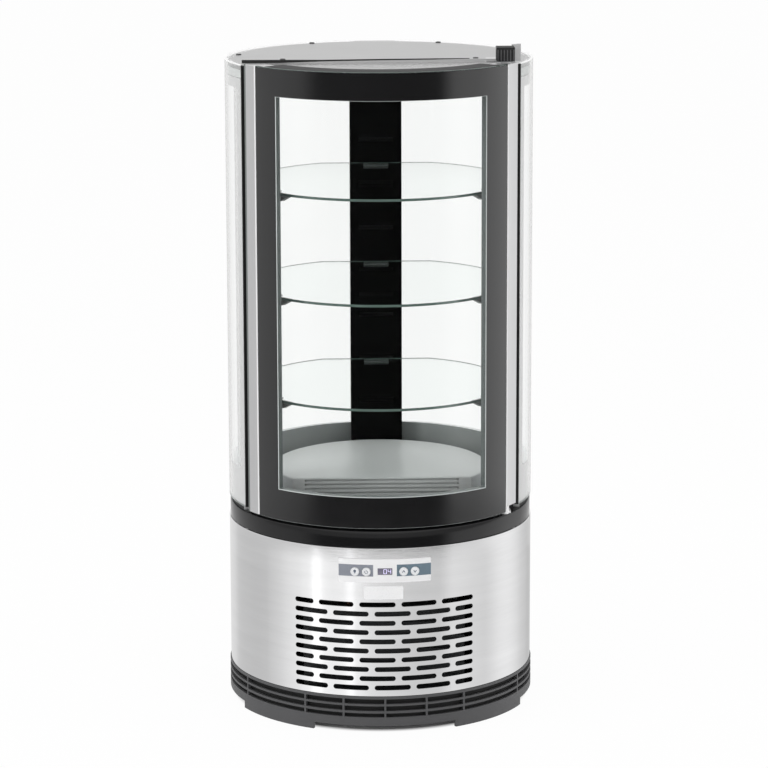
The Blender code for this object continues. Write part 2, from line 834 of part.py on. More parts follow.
def make_deck():
    """The insulated deck with its well, the floor pan over it, and the evaporator in it."""
    radius = band_inner_radius - gap
    deck = turned("insulated_deck", [(0, deck_bottom), (radius, deck_bottom), (radius, deck_top),
                                     (well_radius, deck_top), (well_radius, well_floor), (0, well_floor)], deck_white)
    cut(deck, box("duct_channel", (-channel_half_width, channel_front, deck_top - channel_depth),
                  (channel_half_width, channel_back, deck_top + overrun)))

    pan = prism("deck_pan", chord_outline(pan_radius, pan_front), deck_stand, pan_top, steel)
    cut(pan, prism("pan_hollow", chord_outline(pan_radius - pan_sheet, pan_front - pan_sheet),
                   deck_stand - overrun, pan_top - pan_sheet))
    bm = bmesh.new()
    for i in range(pan_slats):
        low = pan_slat_first + i * pan_slat_pitch
        add_box(bm, (-pan_slat_half_width, -pan_front - overrun, low),
                (pan_slat_half_width, 2 * pan_sheet - pan_front, low + pan_slat_height))
    cut(pan, finish(bm, "pan_slats"))

    stand = well_floor + gap
    box("evaporator_coil", (-coil_half_width, -coil_front, stand),
        (coil_half_width, coil_depth - coil_front, stand + coil_height), aluminium)
    centre = (0, -evaporator_fan_place, evaporator_fan_height)
    make_fan("evaporator_fan", evaporator_fan_radius, centre)
    make_motor("evaporator_fan_motor", evaporator_motor_radius, evaporator_motor_length, centre, stand,
               black_plastic)


def make_frame():
    """Posts, header and sill that frame the door opening."""
    side_radius = glass_inner_radius - post_glass_clearance
    outline = arc(post_radius, chord_angle(post_radius, seal_plane), post_back_angle)
    outline += [polar(side_radius, post_back_angle), polar(side_radius, glass_front_angle - glass_joint_angle),
                (post_corner, -seal_plane)]
    prism("right_post", outline, deck_stand, glass_step, black_plastic)
    prism("left_post", mirrored(outline), deck_stand, glass_step, black_plastic)
    side = sqrt(post_radius ** 2 - seal_plane ** 2) - gap
    back = header_depth - seal_plane
    box("top_header", (-side, -seal_plane, glass_step - header_height), (side, back, glass_step), black_plastic)
    box("bottom_sill", (-side, -seal_plane, deck_stand), (side, back, sill_top), black_plastic)


def make_side_walls():
    """Double-glazed side walls, the rear spine between them, and the collar they stand on."""
    inner_back = glass_inner_radius + pane_thickness
    glass = [(glass_inner_radius, glass_bottom), (inner_back, glass_bottom), (inner_back, glass_pocket_top),
             (pane_back, glass_pocket_top), (pane_back, glass_bottom), (case_radius, glass_bottom),
             (case_radius, glass_top), (pane_back, glass_top), (pane_back, glass_step),
             (glass_inner_radius, glass_step)]
    rear = 180.0 - spine_half_angle
    turned("right_side_glass", glass, clear_glass, glass_front_angle, rear - glass_joint_angle)
    turned("left_side_glass", glass, clear_glass, 360.0 - rear + glass_joint_angle, 360.0 - glass_front_angle)
    inside = collar_radius + collar_wall + gap
    outside = case_radius - spine_inset
    lip = ceiling_radius + 2 * gap
    turned("rear_spine", [(inside, glass_bottom), (outside, glass_bottom), (outside, glass_top),
                          (lip, glass_top),
                          (lip, glass_step), (inside, glass_step)], black_plastic, rear, 360.0 - rear)

    flange_top = glass_bottom - gap
    flange = case_radius - collar_flange_inset
    wall = collar_radius + collar_wall
    turned("inner_collar", [(collar_radius, deck_stand), (flange, deck_stand), (flange, flange_top),
                            (wall, flange_top), (wall, collar_top), (collar_radius, collar_top)],
           painted_grey, collar_front_angle, 360.0 - collar_front_angle)

    back = sqrt(collar_radius ** 2 - duct_half_width ** 2) - duct_back_inset
    inside = duct_half_width - duct_wall
    duct = prism("duct_cover", [(-duct_half_width, duct_front), (duct_half_width, duct_front),
                                (duct_half_width, back), (inside, back), (inside, duct_front + duct_wall),
                                (-inside, duct_front + duct_wall), (-inside, back), (-duct_half_width, back)],
                 deck_stand, glass_step, black_plastic)
    bm = bmesh.new()
    for i in range(duct_slots):
        low = duct_slot_first + i * duct_slot_pitch
        add_box(bm, (-duct_slot_half_width, duct_front - overrun, low),
                (duct_slot_half_width, duct_front + 2 * duct_wall, low + duct_slot_height))
    cut(duct, finish(bm, "duct_slots"))


def make_top():
    """The ceiling panel, and the bevelled cover over it."""
    prism("ceiling_panel", chord_outline(ceiling_radius, seal_plane), ceiling_bottom, ceiling_top, deck_white)
    bm = bmesh.new()
    add_prism(bm, chord_outline(cover_radius, seal_plane), cover_bottom, cover_top)
    rim = [edge for edge in bm.edges if all(vert.co.z > cover_top - gap for vert in edge.verts)]
    bmesh.ops.bevel(bm, geom=rim, offset=cover_bevel, segments=1, profile=cover_bevel_share, affect="EDGES")
    finish(bm, "top_cover", aluminium)


def make_lights():
    """Light strips behind the front posts."""
    start = post_back_angle + led_joint_angle
    profile = ring(post_radius, post_radius + led_depth, led_bottom, led_top)
    turned("right_led_bar", profile, led_white, start, start + led_angle)
    turned("left_led_bar", profile, led_white, 360.0 - start - led_angle, 360.0 - start)


def make_clip(name, top, side):
    """A shelf clip that runs along under the shelf's rim and hooks onto its post."""
    low = top - clip_height
    inner = clip_inner_radius
    outer = shelf_radius - clip_rim
    tab = post_radius - gap
    stations = [(clip_tip_angle, outer, top - clip_tip_height), (clip_ramp_angle, outer, low),
                (clip_post_angle, outer, low), (clip_post_angle, tab, low), (clip_back_angle, tab, low)]
    bm = bmesh.new()
    loops = []
    for angle, edge, bottom in stations:
        corners = [(inner, bottom), (edge, bottom), (edge, top), (inner, top)]
        loops.append([bm.verts.new((*polar(r, side * angle), z)) for r, z in corners])
    bm.faces.new(loops[0])
    bm.faces.new(loops[-1])
    for first, second in zip(loops, loops[1:]):
        for i in range(4):
            bm.faces.new((first[i], first[(i + 1) % 4], second[(i + 1) % 4], second[i]))
    bmesh.ops.remove_doubles(bm, verts=bm.verts, dist=weld)
    finish(bm, name, painted_grey)


def make_shelves():
    """Three glass shelves, each on two front clips and a rear bracket."""
    back = duct_front - shelf_duct_clearance
    side = 180.0 - chord_angle(shelf_radius, back)
    seat = duct_front - gap
    nose = duct_front - bracket_reach
    for number in range(1, shelf_count + 1):
        top = shelf_first + shelf_pitch * (number - 1)
        prism(f"shelf_{number}", arc(shelf_radius, -side, side), top - shelf_thickness, top, clear_glass)
        under = top - shelf_thickness - gap
        make_clip(f"left_clip_{number}", under, -1)
        make_clip(f"right_clip_{number}", under, 1)
        cross_prism(f"rear_bracket_{number}", [(nose, under), (nose, under - bracket_nose_height),
                                               (seat, under - bracket_height), (seat, under)],
                    bracket_half_width, painted_grey)


def make_door():
    """The round-fronted door, held together as one unit on the hinge axis."""
    top_rail_bottom = door_top - top_rail_height
    bottom_rail_top = door_bottom + bottom_rail_height
    pieces = [turned("door_outer_pane", ring(pane_back, case_radius, door_bottom, door_top), clear_glass,
                     -door_outer_angle, door_outer_angle),
              turned("door_inner_pane", ring(inner_pane_radius - pane_thickness, inner_pane_radius,
                                             bottom_rail_top + gap, top_rail_bottom - gap),
                     clear_glass, -door_inner_angle, door_inner_angle)]

    spacer = turned("door_spacer", ring(inner_pane_radius + gap, pane_back - gap, spacer_bottom, spacer_top),
                    painted_grey, -spacer_outer_angle, spacer_outer_angle)
    bm = bmesh.new()
    add_wedge(bm, inner_pane_radius - 2 * glazing_depth, case_radius, -spacer_inner_angle, spacer_inner_angle,
              spacer_bottom + spacer_bar, spacer_top - spacer_bar)
    cut(spacer, finish(bm, "spacer_window"))
    pieces.append(spacer)

    rail = arc(pane_back - gap, -door_inner_angle, door_inner_angle)
    rail += [polar(stile_inner_radius, door_inner_angle), (stile_back_edge - gap, -door_back),
             (gap - stile_back_edge, -door_back), polar(stile_inner_radius, -door_inner_angle)]
    pieces.append(prism("door_top_rail", rail, top_rail_bottom, door_top, black_plastic))
    pieces.append(prism("door_bottom_rail", rail, door_bottom, bottom_rail_top, black_plastic))

    joint = door_inner_angle + stile_joint_angle
    edge = door_outer_angle + stile_joint_angle
    stile = arc(case_radius, edge, stile_outer_angle)
    stile += [(stile_back_corner, -door_back), (stile_back_edge, -door_back), polar(stile_inner_radius, joint),
              polar(pane_back - gap, joint), polar(pane_back - gap, edge)]
    hinge_stile = prism("door_hinge_stile", stile, barrel_top + gap, door_top, aluminium)
    hole = pin_radius + pin_clearance
    bm = bmesh.new()
    add_rod(bm, hole, (*hinge_post, barrel_top - overrun),
            (*hinge_post, barrel_top + pin_reach + pin_clearance))
    add_rod(bm, hole, (*hinge_post, door_top - pin_reach - pin_clearance), (*hinge_post, door_top + overrun))
    cut(hinge_stile, finish(bm, "pin_holes"))
    pieces.append(hinge_stile)
    pieces.append(prism("door_handle_stile", mirrored(stile), door_bottom, door_top, aluminium))

    seal_back = -seal_plane - gap
    seal_front = -door_back + gap
    seal = box("door_gasket", (-seal_outer_edge, seal_front, seal_bottom),
               (seal_outer_edge, seal_back, seal_top),
               black_rubber)
    inside = seal_outer_edge - seal_width
    cut(seal, box("gasket_window", (-inside, seal_front - overrun, seal_bottom + seal_width),
                  (inside, seal_back + overrun, seal_top - seal_width)))
    pieces.append(seal)

    axis = bpy.data.objects.new("door_hinge_axis", None)
    bpy.context.scene.collection.objects.link(axis)
    axis.location = (*hinge_post, door_bottom)
    for piece in pieces:
        tools = [modifier.object for modifier in piece.modifiers if modifier.type == "BOOLEAN"]
        for made in (piece, *tools):
            made.parent = axis
            made.matrix_parent_inverse = Matrix.Translation(axis.location).inverted()


def make_hinges():
    """The lower pivot on the deck, the upper bracket on the cover, and its ribbed cap."""
    x, y = hinge_post
    lower = rod("bottom_hinge_bracket", barrel_radius, (x, y, deck_stand), (x, y, barrel_top), steel)
    fuse(lower, box("lower_plate", (x - lower_plate_half_width, y, deck_stand),
                    (x + lower_plate_half_width, y + lower_plate_length, deck_stand + lower_plate)))
    fuse(lower, rod("lower_pin", pin_radius, (x, y, barrel_top - lower_plate), (x, y, barrel_top + pin_reach)))

    seat = cover_top + gap
    low = door_top + arm_lift
    high = low + arm_thickness
    right = sqrt(cover_radius ** 2 - seal_plane ** 2) - cover_bevel
    upper = box("top_hinge_bracket", (right - upper_foot_width, -seal_plane, seat),
                (right, upper_foot_depth - seal_plane, high), steel)
    fuse(upper, box("upper_arm", (x - arm_half_width, y - arm_nose, low),
                    (x + arm_half_width, -seal_plane + gap, high)))
    fuse(upper, rod("upper_pin", pin_radius, (x, y, door_top - pin_reach), (x, y, high - arm_thickness / 2)))
    bm = bmesh.new()
    outline = [(upright_left, low), (upright_right, low), (upright_right, upright_top),
               (upright_left, upright_top - upright_slope)]
    base = bm.faces.new([bm.verts.new((across, -seal_plane - arm_thickness, up)) for across, up in outline])
    grown = bmesh.ops.extrude_face_region(bm, geom=[base])["geom"]
    moved = [v for v in grown if isinstance(v, bmesh.types.BMVert)]
    bmesh.ops.translate(bm, verts=moved, vec=(0, 2 * arm_thickness, 0))
    fuse(upper, finish(bm, "upright"))

    middle = x + cap_offset
    cap = box("top_hinge_cap", (middle - cap_half_width, y - cap_front, high + gap),
              (middle + cap_half_width, y + cap_back, cap_top), black_plastic)
    bm = bmesh.new()
    pitch = 2 * cap_half_width / cap_ribs
    for i in range(cap_ribs - 1):
        at = middle - cap_half_width + pitch * (i + 1)
        add_box(bm, (at - cap_rib_width / 2, y - cap_front - overrun, high - overrun),
                (at + cap_rib_width / 2, y - cap_front + cap_rib_depth, cap_top - cap_rib_width))
    cut(cap, finish(bm, "cap_grooves"))


make_skirt()
make_base()
make_panel()
make_inlet()
make_controls()
make_compressor()
make_condenser()
make_drain_tray()
make_refrigerant_line()
make_deck()
make_frame()
make_side_walls()
make_top()
make_lights()
make_shelves()
make_door()
make_hinges()
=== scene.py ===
# Round cake display case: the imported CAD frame, dressed for its studio picture
import json
from math import acos, cos, degrees, pi, radians, sin, sqrt

import bpy
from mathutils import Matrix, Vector

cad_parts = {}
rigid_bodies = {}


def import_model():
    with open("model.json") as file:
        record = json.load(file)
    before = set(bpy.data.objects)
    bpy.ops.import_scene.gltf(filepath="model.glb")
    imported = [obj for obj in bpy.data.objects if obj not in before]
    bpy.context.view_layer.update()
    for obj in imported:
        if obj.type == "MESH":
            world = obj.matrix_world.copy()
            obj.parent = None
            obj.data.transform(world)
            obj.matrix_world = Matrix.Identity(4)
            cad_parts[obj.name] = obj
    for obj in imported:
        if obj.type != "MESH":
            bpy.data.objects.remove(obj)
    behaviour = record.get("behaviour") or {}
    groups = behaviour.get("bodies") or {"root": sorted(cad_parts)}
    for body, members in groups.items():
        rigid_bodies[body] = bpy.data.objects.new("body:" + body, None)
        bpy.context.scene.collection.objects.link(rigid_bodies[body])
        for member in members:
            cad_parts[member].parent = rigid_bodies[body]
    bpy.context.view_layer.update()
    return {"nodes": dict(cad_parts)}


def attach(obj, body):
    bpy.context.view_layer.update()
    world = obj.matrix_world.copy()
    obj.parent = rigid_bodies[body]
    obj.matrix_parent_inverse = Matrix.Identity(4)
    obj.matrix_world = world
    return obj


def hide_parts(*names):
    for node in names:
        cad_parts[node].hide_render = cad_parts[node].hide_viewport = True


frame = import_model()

nodes = frame["nodes"]
arcStep = 0.625  # degrees between the points of the round walls
coarseStep = 1.25  # the same for rings and hidden walls
smoothAngle = 32.0  # edges softer than this are shaded smooth
overrun = 0.006  # how far a cutter passes through
weld = 1e-6
closeBy = 1e-5
facing = 0.9  # a face that looks this much in a direction counts as facing it


# Angles run in degrees from the front, growing towards +X
def polar(radius, angle, height=0.0):
    return (radius * sin(radians(angle)), -radius * cos(radians(angle)), height)


def arcPoints(radius, start, end, step=arcStep):
    count = max(1, round(abs(end - start) / step))
    return [polar(radius, start + (end - start) * i / count) for i in range(count + 1)]


def angleOf(point):
    return degrees(acos(max(-1.0, min(1.0, -point.y / max(sqrt(point.x ** 2 + point.y ** 2), weld)))))


def outward(centre, normal):  # how far a face looks away from the case's axis, -1 to 1
    return normal.xy.dot(centre.xy.normalized())


def through(radii):  # the radii of a cutter that passes right through a wall
    return (radii[0] - overrun, radii[1] + overrun)


def deselectAll():
    bpy.ops.object.select_all(action="DESELECT")


def pickOnly(piece):
    deselectAll()
    piece.select_set(True)
    bpy.context.view_layer.objects.active = piece


def objectMode():
    bpy.ops.object.mode_set(mode="OBJECT")


def smoothShade(angle=smoothAngle):
    bpy.ops.object.shade_smooth_by_angle(angle=radians(angle))


def startPiece(name):  # an empty mesh, open for drawing
    deselectAll()
    bpy.ops.mesh.primitive_plane_add(size=0.01)
    piece = bpy.context.object
    piece.name = piece.data.name = name
    bpy.ops.object.mode_set(mode="EDIT")
    bpy.ops.mesh.delete(type="VERT")
    return piece


def pushOut(move):
    bpy.ops.mesh.extrude_region_move(TRANSFORM_OT_translate={"value": move})


def drawOutline(points):  # one point, extruded along the outline and filled
    bpy.ops.mesh.primitive_plane_add(size=0.002, location=points[0])
    bpy.ops.mesh.merge(type="CENTER")
    for here, there in zip(points, points[1:]):
        pushOut(Vector(there) - Vector(here))
    bpy.ops.mesh.select_linked()
    bpy.ops.mesh.edge_face_add()


def spinOutline(start, end, step=arcStep, centre=(0, 0, 0), axis=(0, 0, 1)):
    if end - start >= 360:
        bpy.ops.mesh.delete(type="ONLY_FACE")
        bpy.ops.mesh.select_all(action="SELECT")
    bpy.ops.mesh.spin(steps=max(1, round((end - start) / step)), angle=-radians(end - start),
                      center=centre, axis=axis)


def addSector(profile, start, end, step=arcStep):
    drawOutline([polar(radius, start, height) for radius, height in profile])
    spinOutline(start, end, step)


def addWall(radii, heights, start, end, step=arcStep):
    (near, far), (low, high) = radii, heights
    addSector([(near, low), (far, low), (far, high), (near, high)], start, end, step)


def addPlate(outline, low, high):
    drawOutline([(x, y, low) for x, y, *_ in outline])
    pushOut((0, 0, high - low))


def roundAll(rounding):
    if rounding:
        bpy.ops.mesh.bevel(offset=rounding, segments=2, affect="EDGES")


def addBlock(low, high, rounding=0.0):
    middle = [(a + b) / 2 for a, b in zip(low, high)]
    bpy.ops.mesh.primitive_cube_add(size=1, location=middle, scale=[b - a for a, b in zip(low, high)])
    roundAll(rounding)


def addRod(radius, start, end, sides=48, rounding=0.0):
    along = Vector(end) - Vector(start)
    bpy.ops.mesh.primitive_cylinder_add(
        vertices=sides, radius=radius, depth=along.length, location=(Vector(start) + Vector(end)) / 2,
        rotation=along.to_track_quat("Z", "Y").to_euler())
    roundAll(rounding)


def closePiece(piece, finish=None):
    bpy.ops.mesh.select_all(action="SELECT")
    bpy.ops.mesh.remove_doubles(threshold=weld)
    bpy.ops.mesh.normals_make_consistent(inside=False)
    objectMode()
    pickOnly(piece)
    smoothShade()
    if finish:
        piece.data.materials.append(finish)
    return piece


def makePiece(name, finish, draw, *shape):  # a piece of one drawn shape
    piece = startPiece(name)
    draw(*shape)
    return closePiece(piece, finish)


def applyModifier(piece, kind, **settings):
    pickOnly(piece)
    modifier = piece.modifiers.new(kind.lower(), kind)
    for key, value in settings.items():
        setattr(modifier, key, value)
    bpy.ops.object.modifier_apply(modifier=modifier.name)


def cutAway(piece, cutter, operation="DIFFERENCE"):
    applyModifier(piece, "BOOLEAN", object=cutter, operation=operation, solver="EXACT")
    bpy.data.objects.remove(cutter, do_unlink=True)


def cutOut(piece, draw, *shape):
    cutAway(piece, makePiece("cutter", None, draw, *shape))


def cutWindow(piece, radii, heights, start, end, step=arcStep):
    cutOut(piece, addWall, through(radii), heights, start, end, step)
    smoothShade()


def joinShape(piece, draw, *shape):
    cutAway(piece, makePiece("added", None, draw, *shape), "UNION")


def softenEdges(piece, width, segments=2):
    applyModifier(piece, "BEVEL", width=width, segments=segments, limit_method="ANGLE",
                  angle_limit=radians(40), miter_outer="MITER_ARC", use_clamp_overlap=True)
    smoothShade()
    applyModifier(piece, "WEIGHTED_NORMAL", keep_sharp=True)


def selectPart(piece, test, kind):  # in edit mode afterwards, with what passes the test selected
    pickOnly(piece)
    bpy.ops.object.mode_set(mode="EDIT")
    bpy.ops.mesh.select_mode(type=kind)
    bpy.ops.mesh.select_all(action="DESELECT")
    objectMode()
    mesh = piece.data
    if kind == "FACE":
        for face in mesh.polygons:
            face.select = test(face.center, face.normal)
    else:
        for edge in mesh.edges:
            edge.select = test(*[mesh.vertices[i].co for i in edge.vertices])
    bpy.ops.object.mode_set(mode="EDIT")


def leavePart():
    bpy.ops.mesh.select_mode(type="VERT")
    objectMode()


def bevelEdges(piece, test, width, segments):  # the edges whose two ends pass the test
    selectPart(piece, test, "EDGE")
    bpy.ops.mesh.bevel(offset=width, segments=segments, affect="EDGES")
    leavePart()


def turnPiece(piece, angle):  # moves a piece made at the front round to its own angle
    pickOnly(piece)
    piece.rotation_euler = (0, 0, radians(angle))
    bpy.ops.object.transform_apply(location=True, rotation=True, scale=True)
    return piece


def copyPiece(piece, name, move=(0, 0, 0), mirror=False):
    twin = piece.copy()
    twin.data = piece.data.copy()
    twin.name = twin.data.name = name
    bpy.context.scene.collection.objects.link(twin)
    twin.location = move
    twin.scale = (-1 if mirror else 1, 1, 1)
    pickOnly(twin)
    bpy.ops.object.transform_apply(location=True, rotation=True, scale=True)
    if mirror:
        bpy.ops.object.mode_set(mode="EDIT")
        bpy.ops.mesh.select_all(action="SELECT")
        bpy.ops.mesh.normals_make_consistent(inside=False)
        objectMode()
    return twin


def paintFaces(piece, finish, test):  # a further finish on the faces that pass the test
    piece.data.materials.append(finish)
    index = len(piece.data.materials) - 1
    for face in piece.data.polygons:
        if test(face.center, face.normal):
            face.material_index = index


def fit(piece, body, slot, *replaced):
    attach(piece, body)
    if replaced:
        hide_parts(*replaced)
    return piece


# Nodes: an input is a plain value or the output of another node
def feed(tree, node, inputs):
    for key, value in inputs.items():
        if isinstance(value, bpy.types.NodeSocket):
            tree.links.new(value, node.inputs[key])
        else:
            node.inputs[key].default_value = value


def addNode(tree, kind, inputs=None, **settings):
    node = tree.nodes.new("ShaderNode" + kind)
    for key, value in settings.items():
        setattr(node, key, value)
    feed(tree, node, inputs or {})
    return node


def addMath(tree, operation, first, second):
    return addNode(tree, "Math", {0: first, 1: second}, operation=operation).outputs[0]


def addRange(tree, value, low, high, atLow=0.0, atHigh=1.0):
    return addNode(tree, "MapRange", {"Value": value, "From Min": low, "From Max": high,
                                      "To Min": atLow, "To Max": atHigh}).outputs["Result"]


def blendColours(tree, share, first, second):
    return addNode(tree, "Mix", {"Factor": share, "A": first, "B": second},
                   data_type="RGBA").outputs["Result"]


def mixShaders(tree, share, first, second):
    return addNode(tree, "MixShader", {"Fac": share, 1: first, 2: second}).outputs["Shader"]


def startFinish(name):
    finish = bpy.data.materials.new(name)
    finish.use_nodes = True
    tree = finish.node_tree
    return finish, tree, tree.nodes["Principled BSDF"], addNode(tree, "TexCoord").outputs["Object"]


# Finishes: colour, roughness from and to, grain, and how far the colour drifts
def makeFinish(name, colour, rough, grain, change=0.06, metal=0.0, ior=1.5, coat=0.0, glow=0.0,
               cloud=9, grainShare=0.4, bump=0.0, relief=0.0002):
    finish, tree, shader, place = startFinish(name)
    feed(tree, shader, {"Metallic": metal, "IOR": ior, "Coat Weight": coat, "Coat Roughness": 0.05})
    if glow:
        feed(tree, shader, {"Emission Color": (*colour, 1.0), "Emission Strength": glow})

    def noise(scale, detail):  # a scale is one number, or one for each axis
        scale = scale if isinstance(scale, tuple) else (scale, scale, scale)
        mapping = addNode(tree, "Mapping", {"Vector": place, "Scale": scale})
        return addNode(tree, "TexNoise", {"Vector": mapping.outputs["Vector"], "Scale": 1.0,
                                          "Detail": detail}).outputs["Fac"]

    def spread(value, low, high):  # most of the noise lies between 0.3 and 0.7
        return addRange(tree, value, 0.3, 0.7, low, high)

    fine, broad = noise(grain, 4.0), noise(cloud, 3.0)
    share = addMath(tree, "MULTIPLY", broad, 1 - grainShare)
    both = addNode(tree, "Math", {0: fine, 1: grainShare, 2: share}, operation="MULTIPLY_ADD").outputs[0]
    feed(tree, shader, {
        "Base Color": blendColours(tree, spread(both, 0.0, 1.0), (*[c * (1 - change) for c in colour], 1.0),
                                   (*[min(1.0, c * (1 + change)) for c in colour], 1.0)),
        "Roughness": spread(fine, *rough)})
    if bump:
        dents = addNode(tree, "Bump", {"Strength": bump, "Distance": relief, "Height": fine})
        feed(tree, shader, {"Normal": dents.outputs["Normal"]})
    return finish


def makeGlass(name, colour, ior, smear, rough=0.0):  # clear, and lets the lamps reach what is behind it
    finish, tree, shader, place = startFinish(name)
    smears = addNode(tree, "TexNoise", {"Vector": place, "Scale": smear}).outputs["Fac"]
    tint = blendColours(tree, smears, (*colour, 1.0), (*[c * 0.992 for c in colour], 1.0))
    feed(tree, shader, {"Base Color": tint, "Transmission Weight": 1.0, "IOR": ior, "Roughness": rough})
    clear = addNode(tree, "BsdfTransparent", {"Color": (*colour, 1.0)})
    shadow = addNode(tree, "LightPath").outputs["Is Shadow Ray"]
    surface = mixShaders(tree, shadow, shader.outputs["BSDF"], clear.outputs["BSDF"])
    feed(tree, tree.nodes["Material Output"], {"Surface": surface})
    return finish


steelWrapFinish = makeFinish("brushedSteel", (0.77, 0.77, 0.775), (0.025, 0.045), (24, 24, 2600), 0.05,
                             metal=1.0, cloud=(4, 4, 60), bump=0.02, relief=0.0001)
panFinish = makeFinish("brushedPan", (0.75, 0.77, 0.765), (0.35, 0.45), (40, 2200, 300),
                       metal=0.1, cloud=12, bump=0.10, relief=0.0001)
coverFinish = makeFinish("brushedCover", (0.51, 0.51, 0.51), (0.30, 0.42), (30, 2400, 400), 0.05,
                         metal=0.9, cloud=7, bump=0.08, relief=0.0001)
polishedFinish = makeFinish("polishedEdge", (0.86, 0.86, 0.86), (0.08, 0.16), 60, 0.03, metal=1.0)
stileFinish = makeFinish("satinAluminium", (0.66, 0.66, 0.665), (0.34, 0.46), (2200, 2200, 24), 0.04,
                         metal=0.9, cloud=(6, 6, 3), bump=0.08, relief=0.0001)
bezelFinish = makeFinish("bezelSilver", (0.95, 0.95, 0.955), (0.30, 0.40), 900, 0.02, bump=0.05,
                         relief=0.0001)
leftSlateFinish = makeFinish("leftSlate", (0.27, 0.29, 0.335), (0.38, 0.5), 700, 0.10, cloud=30)
rightSlateFinish = makeFinish("rightSlate", (0.15, 0.215, 0.265), (0.38, 0.5), 700, 0.12, cloud=30)
buttonFinish = makeFinish("buttonWhite", (0.90, 0.91, 0.93), (0.22, 0.32), 500, 0.03, bump=0.03)
iconFinish = makeFinish("iconBlue", (0.12, 0.15, 0.20), (0.4, 0.5), 400)
displayFinish = makeFinish("displayTint", (0.20, 0.19, 0.25), (0.08, 0.14), 300, 0.10, coat=0.6)
digitFinish = makeFinish("digitLilac", (0.78, 0.72, 1.0), (0.4, 0.5), 200, glow=0.7)
badgeFinish = makeFinish("badgeWhite", (0.97, 0.97, 0.975), (0.25, 0.35), 600, 0.015, coat=0.5, bump=0.03)
# grey for the skirt, also used as a painted highlight on the hinge cap's rib fronts
skirtGreyAndRibHighlightFinish = makeFinish("skirtGreyAndRibHighlight", (0.082, 0.082, 0.085), (0.42, 0.56), 1400, 0.08, bump=0.16,
                         relief=0.00015)
printFinish = makeFinish("blackPrint", (0.010, 0.010, 0.0105), (0.03, 0.05), 40, 0.10, ior=1.6)
bandFinish = makeFinish("blackBand", (0.009, 0.009, 0.0095), (0.06, 0.10), 900, 0.12, ior=1.42)
blackPlasticFinish = makeFinish("blackPlastic", (0.016, 0.016, 0.017), (0.36, 0.5), 1300, 0.12,
                                bump=0.14, relief=0.00015)
capFinish = makeFinish("capGloss", (0.022, 0.022, 0.023), (0.30, 0.40), 900, 0.12, ior=1.3,
                       bump=0.06, relief=0.0001)
# near-black sheet for behind the skirt's slots: painted shade for the dark inside
slotShadeFinish = makeFinish("slotShadeSheet", (0.010, 0.010, 0.010), (0.6, 0.8), 1600, 0.5, grainShare=0.9,
                        bump=0.4, relief=0.0003)
railFinish = makeFinish("railGrey", (0.40, 0.40, 0.40), (0.2, 0.3), (30, 900, 900), 0.05, metal=0.5,
                        bump=0.04)
rubberFinish = makeFinish("blackRubber", (0.014, 0.014, 0.014), (0.6, 0.75), 900, 0.12, bump=0.12)
ductFinish = makeFinish("ductBlack", (0.002, 0.002, 0.002), (0.30, 0.42), 800, 0.12, ior=1.1, bump=0.08)
collarFinish = makeFinish("collarGrey", (0.33, 0.35, 0.345), (0.34, 0.44), 1000, 0.10, bump=0.06)
paintedFinish = makeFinish("paintedGrey", (0.20, 0.205, 0.21), (0.42, 0.54), 700, bump=0.08)
deckFinish = makeFinish("deckWhite", (0.60, 0.615, 0.61), (0.42, 0.52), 600, 0.05, bump=0.06)
silverPrintFinish = makeFinish("silverPrint", (0.62, 0.62, 0.62), (0.28, 0.34), 700, 0.015, metal=0.2,
                               cloud=(5, 5, 3))
# white for rims, and also a painted highlight on the stiles' inner edges
whiteRimAndHighlightFinish = makeFinish("whiteRimAndHighlight", (0.92, 0.92, 0.92), (0.30, 0.40), 700, 0.02, cloud=(5, 5, 3))
# glowing white for the silver print's back: painted light on its shaded inner faces
printBackPaintedLightFinish = makeFinish("printBackPaintedLight", (0.90, 0.91, 0.91), (0.30, 0.40), 700, 0.02, glow=0.45,
                             cloud=(5, 5, 3))
spacerFinish = makeFinish("spacerGrey", (0.17, 0.195, 0.19), (0.35, 0.45), (500, 500, 1500), 0.10)
# pale grey for the spacer's dots, and also a painted highlight round the door print's window
dotAndHighlightFinish = makeFinish("spacerDots", (0.62, 0.66, 0.65), (0.3, 0.4), 300)
# grey for clips and brackets, also used as painted shade on the handle stile's side faces
clipGreyAndShadeFinish = makeFinish("clipGreyAndShade", (0.13, 0.145, 0.14), (0.3, 0.42), 900, bump=0.08)
# near-black fins: painted shade for the dark inside seen through the steel's slots
finShadeFinish = makeFinish("coilFinsPaintedShade", (0.030, 0.032, 0.034), (0.4, 0.6), (1800, 30, 30), 0.35, metal=0.4,
                       grainShare=0.8, bump=0.5, relief=0.0008)
copperFinish = makeFinish("copperPipe", (0.30, 0.14, 0.08), (0.3, 0.45), 120, 0.14, metal=0.8)
lightFinish = makeFinish("lightStrip", (0.92, 0.95, 1.0), (0.3, 0.4), 150, glow=0.8)
screwFinish = makeFinish("darkScrew", (0.09, 0.09, 0.092), (0.28, 0.4), 900, 0.12, metal=0.8, bump=0.06)
hingeFinish = makeFinish("hingeSteel", (0.68, 0.68, 0.685), (0.3, 0.42), (900, 900, 60), metal=0.35,
                         bump=0.08)
edgeFinish = makeFinish("glassEdge", (0.11, 0.165, 0.145), (0.12, 0.22), (60, 60, 300), 0.18, coat=0.5)
paneEdgeFinish = makeFinish("paneEdge", (0.46, 0.50, 0.49), (0.16, 0.26), (60, 60, 300), 0.08, coat=0.5)
doorGlassFinish = makeGlass("doorGlass", (0.996, 1.0, 0.998), 1.2, 7.0)
paneFinish = makeGlass("clearPane", (0.997, 1.0, 0.998), 1.15, 7.0)
shelfFinish = makeGlass("shelfGlass", (0.965, 0.99, 0.98), 1.12, 9.0)
bumperFinish = makeGlass("clearBumper", (0.93, 0.95, 0.94), 1.42, 40.0, 0.08)
print("finishes ready")


